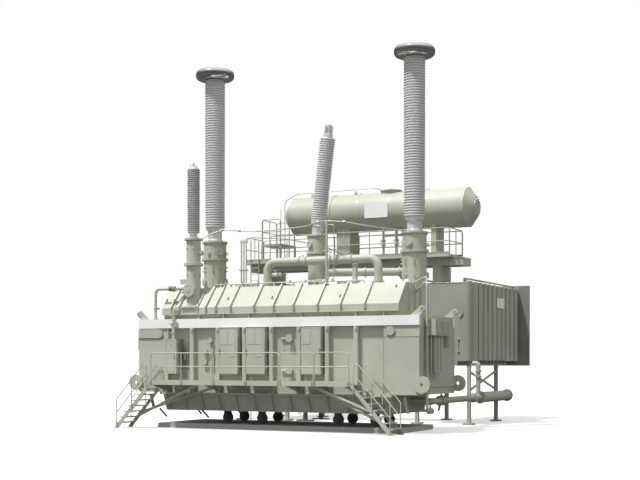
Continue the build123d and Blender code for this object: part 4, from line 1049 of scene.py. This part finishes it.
class TRANSFORMER_OT_tank_fittings(bpy.types.Operator):
    """Set lugs, cover bolts, painted shade rings round the covers, rib webs, seams and end fittings on the
    tank and wheels
    """

    bl_idname = "transformer.tank_fittings"
    bl_label = "Fit the tank"

    def execute(self, context):
        size = context.scene.transformer.bolt_size
        tank_wall_fittings(size)
        cover_shade_rings()
        trough_webs()
        panel_joints()
        end_unit_trim()
        wheel_fittings()
        return {"FINISHED"}


# Walkway and platform


def walkway_grating():
    """Bearing and cross bars that lie on the deck."""
    form = Form()
    bars = 90
    for index in range(bars + 1):
        x = DECK_LOW.x + 0.02 + (DECK_HIGH.x - DECK_LOW.x - 0.04) * index / bars
        form.box((x - 0.004, -3.085, DECK_TOP), (x + 0.004, -2.0, DECK_TOP + 0.012))
    for index in range(11):
        y = -3.05 + index * 0.103
        form.box((DECK_LOW.x, y - 0.004, DECK_TOP), (DECK_HIGH.x, y + 0.004, DECK_TOP + 0.01))
    form.piece("walkway_grating", "fin_paint")


def walkway_clamps():
    """Clamps of the rail's posts, tread edges and bars of the stairs, and their foot plates."""
    form = Form()
    for x in DECK_POSTS:
        for shift in (-0.035, 0.035):
            form.box((x + shift - 0.016, -3.128, 1.86), (x + shift + 0.016, -3.1, 1.99))
            form.bolt((x + shift, -3.128, 1.89), (0, -1, 0), 0.011)
            form.bolt((x + shift, -3.128, 1.96), (0, -1, 0), 0.011)
    tread = STAIR_RUN / STAIR_STEPS
    for side, head in ((-1, -5.1), (1, 4.05)):
        for step in range(1, STAIR_STEPS):
            x = head + side * tread * step
            z = DECK_TOP - (DECK_TOP / STAIR_STEPS) * step
            edge = x + side * (tread - 0.01)
            form.box((edge - 0.015, -3.08, z - 0.035), (edge + 0.015, -2.12, z + 0.006))
            for k in range(1, 6):
                bar_x = x + side * 0.036 * k
                form.box((bar_x - 0.003, -3.08, z), (bar_x + 0.003, -2.12, z + 0.01))
        foot = head + side * STAIR_RUN
        for y in (-3.094, -2.106):
            x0, x1 = sorted((foot - side * 0.19, foot + side * 0.05))
            form.box((x0, max(y - 0.05, -3.14), 0.0), (x1, y + 0.05, 0.012))
    for x in (DECK_POSTS[0], DECK_POSTS[-1]):
        form.rod((x, -3.121, 2.55), (x, -3.121, 2.6), 0.02, sides=12)
    form.piece("walkway_clamps", "rail_paint")


def stay_flanges():
    """Web and flange of the flat bars that hold the walkway up from below."""
    form = Form()
    for start, end in (
        ((-2.80, -3.0, 1.86), (-6.44, -2.16, 0.42)),
        ((-2.10, -2.13, 1.86), (-6.10, -2.16, 0.67)),
        ((1.85, -2.13, 1.86), (5.31, -3.03, 0.47)),
        ((2.20, -2.82, 1.86), (4.97, -3.03, 0.85)),
    ):
        form.flat_bar(start, end, 0.1, 0.03)
        form.flat_bar(start, end, 0.03, 0.075)
    form.piece("stay_flanges", "tank_paint")


def platform_grating():
    """Bars on the service platform and its kick plates."""
    form = Form()
    low, high = PLATFORM_LOW, PLATFORM_HIGH
    gaps = 68
    for index in range(gaps + 1):
        x = low.x + 0.1 + (high.x - low.x - 0.2) * index / gaps
        form.box((x - 0.005, low.y + 0.02, high.z), (x + 0.005, high.y - 0.02, high.z + 0.014))
    for y in (low.y + 0.01, high.y - 0.01):
        form.box((low.x + 0.06, y - 0.006, high.z), (high.x - 0.06, y + 0.006, high.z + 0.1))
    form.piece("platform_grating", "fin_paint")


class TRANSFORMER_OT_walkway_fittings(bpy.types.Operator):
    """Lay the gratings, tread edges, rail clamps and stay flanges of the walkway and platform"""

    bl_idname = "transformer.walkway_fittings"
    bl_label = "Fit the walkway"

    def execute(self, context):
        walkway_grating()
        walkway_clamps()
        stay_flanges()
        platform_grating()
        return {"FINISHED"}


# Cabinets


def door_edges(door):
    """A closed door's left edge, front face, foot and head, without its hinges."""
    low, high = limits(door)
    left = high.x - DOOR_WIDTH if door == "cabinet_door_right" else low.x
    return left, low.y + 0.03, low.z, high.z


def door_lock(door):
    """Lock plate, spindle and lever at the door's free edge."""
    left, face, foot, head = door_edges(door)
    free = left + (DOOR_WIDTH - 0.035 if door == "cabinet_door_right" else 0.035)
    level = (foot + head) / 2
    form = Form()
    form.rod((free, face - 0.028, level + 0.045), (free, face - 0.05, level + 0.045), 0.014, sides=14)
    form.box((free - 0.009, face - 0.062, level - 0.07), (free + 0.009, face - 0.046, level + 0.055))
    form.box((free - 0.028, face - 0.006, level - 0.1), (free + 0.028, face + 0.002, level + 0.1))
    form.piece(f"{door}_lock", "wheel_steel", body=door, bevel=0.002)


def door_trim(door):
    """Narrow raised edge round the door."""
    left, face, foot, head = door_edges(door)
    right = left + DOOR_WIDTH
    form = Form()
    for z in (foot + 0.012, head - 0.012):
        form.box((left + 0.01, face - 0.004, z - 0.006), (right - 0.01, face + 0.002, z + 0.006))
    for x in (left + 0.012, right - 0.012):
        form.box((x - 0.006, face - 0.004, foot + 0.01), (x + 0.006, face + 0.002, head - 0.01))
    form.piece(f"{door}_trim", "fin_paint", body=door)


def cabinet_roofs():
    """Rain roofs and foot plates of the cabinets, and the control box's latch and lamp."""
    form = Form()
    for left in CABINET_LEFTS:
        form.box((left - 0.015, -2.155, 4.12), (left + DOOR_WIDTH + 0.015, -1.8, 4.135))
        form.box((left + 0.05, -2.1, 2.24), (left + 0.82, -1.85, 2.28))
    low, high = limits("control_box")
    middle = (low.x + high.x) / 2
    form.slab((middle + 0.17, low.y - 0.015, 3.0), (0.03, 0.03, 0.16))
    form.rod((middle, low.y, 3.5), (middle, low.y - 0.02, 3.5), 0.03, sides=14)
    form.piece("cabinet_roofs", "tank_paint", bevel=0.003)


def cable_bay():
    """Recess beside the control box, a dark sheet of painted shade, with its cables and a small box in the
    same shaded paint.
    """
    form = Form()
    x0 = limits("control_box")[1].x + 0.02
    form.box((x0, -1.82, 2.5), (-3.9, -1.8, 3.7))
    form.box((x0 + 0.02, -2.05, 2.5), (x0 + 0.04, -1.8, 3.7))
    for x in (x0 + 0.1, x0 + 0.2, x0 + 0.3):
        form.tube([(x, -1.86, 2.1), (x, -1.86, 3.3), (x + 0.03, -1.9, 3.6)], 0.014, 0.05)
    form.slab((x0 + 0.18, -1.87, 2.95), (0.1, 0.1, 0.24))
    form.piece("cable_bay", "shaded_paint")


class TRANSFORMER_OT_cabinet_fittings(bpy.types.Operator):
    """Put locks and edge trim on the doors, which they ride on, and roofs over the cabinets"""

    bl_idname = "transformer.cabinet_fittings"
    bl_label = "Fit the cabinets"

    def execute(self, context):
        for door in DOORS:
            door_lock(door)
            door_trim(door)
        cabinet_roofs()
        cable_bay()
        return {"FINISHED"}


# Conservator


def conservator_fittings(size):
    """End covers, seams, hatch, lifting eyes, breather pipes and the valves below the shell."""
    form = Form()
    left, right, top = SHELL_LOW.x, SHELL_HIGH.x, SHELL_HIGH.z
    for x, way in ((left, -1), (right, 1)):
        form.rod((x - way * 0.01, SHELL_Y, SHELL_Z), (x + way * 0.03, SHELL_Y, SHELL_Z), 0.4, sides=40)
        form.bolt_ring((x + way * 0.03, SHELL_Y, SHELL_Z), (way, 0, 0), 0.36, 20, size)
    for x in (left + 0.35, right - 0.35):
        form.ring((x, SHELL_Y, SHELL_Z), (1, 0, 0), SHELL_RADIUS, 0.012, steps=64)
    for x in (0.55, 2.1, 3.9):
        form.ring((x, SHELL_Y, SHELL_Z), (1, 0, 0), SHELL_RADIUS, 0.006, sides=6, steps=64)
    form.bolt_ring((HATCH_X, SHELL_Y, top), UP, 0.46, 20, size)
    form.box((HATCH_X - 0.2, SHELL_Y - 0.04, top), (HATCH_X + 0.2, SHELL_Y + 0.04, top + 0.03))
    form.ring((HATCH_X, SHELL_Y, top + 0.05), (1, 0, 0), 0.05, 0.014)
    for x in (-1.9, 0.3, 3.6):
        for y in (-0.28, 0.28):
            z = SHELL_Z + math.sqrt(SHELL_RADIUS**2 - y**2)
            form.slab((x, SHELL_Y + y, z + 0.04), (0.16, 0.03, 0.14))
            form.ring((x, SHELL_Y + y, z + 0.12), (0, 1, 0), 0.045, 0.016)
    y = SHELL_Y - 0.3
    form.tube([(left - 0.12, y, PLATFORM_TOP), (left - 0.12, y, 10.3), (left + 0.5, y, 10.62),
               (HATCH_X - 0.7, y, 10.66), (HATCH_X - 0.35, SHELL_Y - 0.1, 10.55)], 0.022, 0.2)
    y = SHELL_Y + 0.1
    form.tube([(left - 0.1, y, PLATFORM_TOP), (left - 0.1, y, 9.3), (left + 0.02, y, 9.3)], 0.03, 0.1)
    y = SHELL_Y - 0.55
    form.tube([(left - 0.2, y, PLATFORM_TOP), (left - 0.2, y, 9.9)], 0.018, 0)
    y = SHELL_Y - 0.35
    for x in (1.7, 2.35, 2.75):
        form.tube([(x, y, PLATFORM_TOP), (x, y, 8.84)], 0.05, 0, sides=14)
        form.rod((x, y, 8.0), (x, y, 8.05), 0.11, sides=20)
        form.rod((x, y, 8.22), (x, y, 8.27), 0.11, sides=20)
        form.rod((x, y, 8.05), (x, y, 8.22), 0.08, sides=16)
        form.rod((x, y, 8.135), (x, y - 0.19, 8.135), 0.02, sides=10)
        form.handwheel((x, y - 0.21, 8.135), (0, -1, 0), 0.09)
    form.tube([(1.7, y, 8.45), (3.3, y, 8.45), (3.3, y, 8.86)], 0.04, 0.1)
    form.rod((3.0, y - 0.05, 7.5), (3.0, y - 0.05, 8.1), 0.09, sides=20)
    form.rod((3.0, y - 0.05, 8.1), (3.0, y - 0.05, 8.16), 0.1, sides=20)
    form.piece("conservator_fittings", "tank_paint")


def conservator_plate():
    """Bare plate on the shell's front."""
    form = Form()
    form.box((0.99, 5.008, 9.24), (2.13, 5.02, 9.92))
    for x in (1.05, 2.07):
        for z in (9.3, 9.86):
            form.bolt((x, 5.008, z), (0, -1, 0), 0.01)
    form.piece("conservator_plate", "band_paint", bevel=0.002)


def conservator_plate_mounts():
    """Two bars between the plate and the shell."""
    form = Form()
    for x in (1.1, 2.02):
        form.box((x - 0.02, 5.018, 9.26), (x + 0.02, 5.12, 9.9))
    form.piece("conservator_plate_mounts", "tank_paint")


def trestle_feet(size):
    """Foot plates, stiffeners and bolts of the columns that stand on the coolers."""
    form = Form()
    for x in (-4.4, 4.05):
        for y in (5.62, 6.94):
            for bolt_x in (x + 0.06, x + 0.29):
                form.bolt((bolt_x, y + 0.02, 6.3), (0, -1, 0), size * 0.7)
    for x in (4.05, -4.4):
        form.box((x - 0.06, 5.54, COOLER_TOP), (x + 0.41, 7.06, COOLER_TOP + 0.03))
        form.box((x + 0.165, 5.585, 6.28), (x + 0.185, 5.6, 7.0))
    form.piece("trestle_feet", "tank_paint")


class TRANSFORMER_OT_conservator_fittings(bpy.types.Operator):
    """Fit the conservator's end covers, hatch, pipes, valves, bare plate and column feet"""

    bl_idname = "transformer.conservator_fittings"
    bl_label = "Fit the conservator"

    def execute(self, context):
        size = context.scene.transformer.bolt_size
        conservator_fittings(size)
        conservator_plate()
        conservator_plate_mounts()
        trestle_feet(size)
        return {"FINISHED"}


# Coolers


def cooler_plate_caps():
    """Vents, bars and lifting ears on top of the cooler plates, and the front panel's upper edge."""
    form = Form()
    for side in (-1, 1):
        for index in range(COOLER_PLATES):
            y = PLATES_START + PLATE_PITCH * index
            for x in (side * 3.5, side * 5.6):
                form.rod((x, y + 0.3, COOLER_TOP), (x, y + 0.3, COOLER_TOP + 0.08), 0.09, sides=20)
            x0, x1 = spread(side, 3.3, 5.8)
            form.box((x0, y + 0.2, COOLER_TOP), (x1, y + 0.4, COOLER_TOP + 0.03))
        for x in (side * 3.3, side * 5.7):
            form.box((x - 0.02, 5.56, COOLER_TOP), (x + 0.02, 5.6, COOLER_TOP + 0.16))
        x0, x1 = spread(side, 3.22, 5.6)
        form.box((x0, 5.485, COOLER_TOP - 0.025), (x1, 5.5, COOLER_TOP + 0.005))
    form.piece("cooler_plate_caps", "fin_paint", bevel=0.006)


def cooler_gap_shade():
    """Dark strips of painted shade in the gaps between the plates, and a dark sheet of painted shade on the
    face before the rear panels.
    """
    form = Form()
    for side in (-1, 1):
        x0, x1 = spread(side, 5.80, 5.874)
        for index in range(COOLER_PLATES):
            seam = PLATES_START + PLATE_PITCH * (index + 1) - 0.06
            form.box((x0, seam - 0.05, 2.82), (x1, seam + 0.11, 6.24))
        x0, x1 = spread(side, 5.88, 6.385)
        form.box((x0, 12.6, 2.6), (x1, 12.63, 6.46))
    form.piece("cooler_gap_shade", "shaded_paint")


def cooler_seats():
    """Lower header ends, bearers and foot bolts under the coolers."""
    form = Form()
    for side in (-1, 1):
        for index in range(9):
            y = 5.75 + index * 0.54
            form.rod((side * 5.86, y, 2.75), (side * 5.92, y, 2.75), 0.1, sides=20)
        x0, x1 = spread(side, 5.84, 5.9)
        form.box((x0, 5.6, 2.72), (x1, 10.55, 2.8))
        x0, x1 = spread(side, 3.2, 5.85)
        for y in (10.6, 11.3, 12.0):
            form.box((x0, y, 2.74), (x1, y + 0.08, 2.8))
        for x in (side * 3.28, side * 5.72):
            for y in (5.68, 9.48):
                for dx in (-0.16, 0.16):
                    for dy in (-0.16, 0.16):
                        form.bolt((x + dx, y + dy, 0.06), UP, 0.022)
    form.piece("cooler_seats", "wheel_steel")


def cooler_brackets():
    """Small brackets and handles on the coolers' front panels."""
    form = Form()
    for side in (-1, 1):
        turn = Matrix.Rotation(math.radians(-48 * side), 3, "Y")
        form.slab((side * 5.43, 5.47, 4.82), (0.24, 0.05, 0.03), turn)
        form.slab((side * 5.51, 5.48, 4.98), (0.03, 0.04, 0.03))
        form.slab((side * 5.27, 5.48, 3.48), (0.03, 0.04, 0.5))
        form.slab((side * 5.29, 5.47, 3.24), (0.08, 0.05, 0.08))
        form.slab((side * 5.3, 5.47, 3.76), (0.1, 0.05, 0.03))
        form.slab((side * 3.65, 5.48, 5.9), (0.3, 0.04, 0.05))
    form.piece("cooler_brackets", "tank_paint", bevel=0.004)


def cooler_plate():
    """Bare plate on the right cooler's outer side."""
    form = Form()
    form.box((5.895, 9.08, 5.26), (5.91, 10.14, 5.73))
    form.piece("cooler_plate", "band_paint", bevel=0.002)


class TRANSFORMER_OT_cooler_fittings(bpy.types.Operator):
    """Cap the coolers' plates and add painted shade in their gaps, their seats, brackets and bare plate"""

    bl_idname = "transformer.cooler_fittings"
    bl_label = "Fit the coolers"

    def execute(self, context):
        cooler_plate_caps()
        cooler_gap_shade()
        cooler_seats()
        cooler_brackets()
        cooler_plate()
        return {"FINISHED"}


# Thin pipes


def sampling_pipes():
    """Thin pipes that run between the turrets, down to the hood and back to the platform."""
    form = Form()
    form.tube([(-3.75, -1.25, 7.93), (-3.4, -1.1, 8.15), (-2.9, -0.9, 8.32), (-2.2, -0.7, 8.28),
               (-1.4, -0.6, 8.22), (-0.2, -0.6, 8.26), (0.9, -0.7, 8.3), (1.55, -0.85, 8.44),
               (1.97, -0.9, 8.46), (2.7, -0.8, 8.4), (3.6, -0.4, 8.22), (4.3, 0.6, 8.15),
               (4.5, 1.15, 8.12)], 0.026, 0.25)
    form.tube([(1.97, -0.9, 8.3), (2.3, -0.9, 8.3), (2.3, -0.9, 6.1), (2.2, -0.86, 6.03)], 0.018, 0.1)
    for x, y, z in ((-2.9, -0.9, 8.32), (-2.2, -0.7, 8.28), (2.7, -0.8, 8.4), (1.55, -0.85, 8.44)):
        form.rod((x - 0.07, y, z), (x + 0.07, y, z), 0.05, sides=12)
    form.tube([(1.2, 0.3, 7.4), (1.7, 0.2, 7.3), (1.9, -0.5, 7.2), (1.9, -0.6, 6.0)], 0.02, 0.1)
    form.tube([(1.97, -0.9, 8.1), (1.6, -0.6, 8.1), (1.25, 0.2, 7.9)], 0.02, 0.1)
    form.box((-2.93, 0.54, 6.7), (-2.53, 0.66, 6.74))
    form.tube([(-2.6, 0.6, 8.0), (-2.4, 0.6, 8.12), (-1.2, 1.6, 8.1), (-0.2, 3.2, 7.9),
               (0.0, 5.1, 7.6)], 0.022, 0.3)
    form.piece("sampling_pipes", "rail_paint")


def duct_clamps():
    """Clamps of the cable duct that climbs over the belt and the hood's slope."""
    form = Form()
    for z in (3.95, 4.35, 4.7):
        form.box((-4.77, -2.12, z), (-4.57, -2.0, z + 0.04))
    form.box((-4.55, -2.1, 4.22), (-4.42, -2.0, 4.44))
    for share in (0.25, 0.75):
        place = SLOPE_FOOT.lerp(SLOPE_HEAD, share) + Vector((-4.67, 0, 0)) + SLOPE_OUT * 0.05
        form.slab(place, (0.2, 0.04, 0.13), slope_turn(SLOPE))
    form.piece("duct_clamps", "rail_paint")


class TRANSFORMER_OT_small_pipes(bpy.types.Operator):
    """Run the thin sampling pipes and clamp the cable duct"""

    bl_idname = "transformer.small_pipes"
    bl_label = "Run the thin pipes"

    def execute(self, context):
        sampling_pipes()
        duct_clamps()
        return {"FINISHED"}


# Stage


class TRANSFORMER_OT_stage(bpy.types.Operator):
    """Add the pale floor, the studio light and the camera"""

    bl_idname = "transformer.stage"
    bl_label = "Set the stage"

    def execute(self, context):
        add_floor()
        add_light()
        add_camera(context.scene.transformer.camera_height)
        context.scene.view_settings.view_transform = "Standard"
        return {"FINISHED"}


def add_floor():
    """A wide white ground that the background melts into."""
    mesh = bpy.data.meshes.new("floor")
    build = bmesh.new()
    bmesh.ops.create_grid(build, x_segments=1, y_segments=1, size=400.0)
    build.to_mesh(mesh)
    build.free()
    floor = bpy.data.objects.new("floor", mesh)
    floor.location.z = -0.002
    bpy.context.scene.collection.objects.link(floor)
    material = bpy.data.materials.new("floor_white")
    material.use_nodes = True
    wiring = Wiring(material.node_tree)
    shader = material.node_tree.nodes["Principled BSDF"]
    shader.inputs["Roughness"].default_value = 0.9
    shader.inputs["Emission Color"].default_value = WHITE
    path = wiring.add("ShaderNodeLightPath")
    mirrored = wiring.blend(path.outputs["Is Glossy Ray"], (0.13, 0.13, 0.13, 1.0), (0.03, 0.03, 0.03, 1.0))
    tone = wiring.blend(path.outputs["Is Camera Ray"], mirrored, (0.5, 0.5, 0.5, 1.0))
    wiring.join(tone, shader.inputs["Base Color"])
    seen = wiring.math("MULTIPLY", path.outputs["Is Camera Ray"], 0.5)
    wiring.join(seen, shader.inputs["Emission Strength"])
    mesh.materials.append(material)


def add_light():
    """A white sky with a dark rim for reflections, and one high soft sun from the front left."""
    world = bpy.data.worlds.new("studio")
    bpy.context.scene.world = world
    world.use_nodes = True
    wiring = Wiring(world.node_tree)
    background = world.node_tree.nodes["Background"]
    path = wiring.add("ShaderNodeLightPath")
    upright = wiring.add("ShaderNodeSeparateXYZ")
    wiring.join(wiring.add("ShaderNodeTexCoord").outputs["Generated"], upright.inputs[0])
    glow = wiring.math("MULTIPLY", wiring.ramp(upright.outputs["Z"], 0.12, 1.0), 0.8)
    ceiling = wiring.math("ADD", 0.06, glow)
    open_sky = wiring.blend(path.outputs["Is Glossy Ray"], (0.72, 0.72, 0.72, 1.0), ceiling)
    seen = wiring.math("MAXIMUM", path.outputs["Is Camera Ray"], path.outputs["Is Transmission Ray"])
    wiring.join(wiring.blend(seen, open_sky, WHITE), background.inputs["Color"])
    sun = bpy.data.lights.new("key", "SUN")
    sun.energy = 4.1
    sun.angle = math.radians(5.0)
    lamp = bpy.data.objects.new("key", sun)
    lamp.rotation_euler = Vector((-0.35, -0.55, 1.38)).to_track_quat("Z", "Y").to_euler()
    bpy.context.scene.collection.objects.link(lamp)


def add_camera(height):
    """The photograph's view: level camera, right of the walkway, with a rising shift."""
    camera = bpy.data.cameras.new("camera")
    camera.sensor_width = 36.0
    camera.lens = 68.12
    camera.shift_y = 0.189
    camera.clip_end = 500.0
    view = bpy.data.objects.new("camera", camera)
    view.location = (23.3085, -44.87, height)
    view.rotation_euler = (math.radians(90.0), 0.0, math.radians(26.2))
    bpy.context.scene.collection.objects.link(view)
    bpy.context.scene.camera = view


# Panel and registration


class TRANSFORMER_PT_panel(bpy.types.Panel):
    """Sidebar panel with the transformer's settings and steps"""

    bl_label = "Transformer"
    bl_idname = "TRANSFORMER_PT_panel"
    bl_space_type = "VIEW_3D"
    bl_region_type = "UI"
    bl_category = "Transformer"

    def draw(self, context):
        layout = self.layout
        settings = context.scene.transformer
        for name in ("body_colour", "band_colour", "shed_colour", "bolt_size", "camera_height"):
            layout.prop(settings, name)
        for operator in OPERATORS:
            layout.operator(operator.bl_idname)


OPERATORS = (
    TRANSFORMER_OT_finishes,
    TRANSFORMER_OT_turret_bolts,
    TRANSFORMER_OT_bushing_metal,
    TRANSFORMER_OT_pipework,
    TRANSFORMER_OT_hood_fittings,
    TRANSFORMER_OT_tank_fittings,
    TRANSFORMER_OT_walkway_fittings,
    TRANSFORMER_OT_cabinet_fittings,
    TRANSFORMER_OT_conservator_fittings,
    TRANSFORMER_OT_cooler_fittings,
    TRANSFORMER_OT_small_pipes,
    TRANSFORMER_OT_stage,
)
CLASSES = (TRANSFORMER_PG_settings, *OPERATORS, TRANSFORMER_PT_panel)


def register():
    for item in CLASSES:
        bpy.utils.register_class(item)
    bpy.types.Scene.transformer = bpy.props.PointerProperty(type=TRANSFORMER_PG_settings)


def unregister():
    del bpy.types.Scene.transformer
    for item in reversed(CLASSES):
        bpy.utils.unregister_class(item)


def main():
    register()
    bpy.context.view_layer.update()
    bpy.ops.transformer.finishes()
    bpy.ops.transformer.turret_bolts()
    bpy.ops.transformer.bushing_metal()
    bpy.ops.transformer.pipework()
    bpy.ops.transformer.hood_fittings()
    bpy.ops.transformer.tank_fittings()
    bpy.ops.transformer.walkway_fittings()
    bpy.ops.transformer.cabinet_fittings()
    bpy.ops.transformer.conservator_fittings()
    bpy.ops.transformer.cooler_fittings()
    bpy.ops.transformer.small_pipes()
    bpy.ops.transformer.stage()


if __name__ == "__main__":
    main()
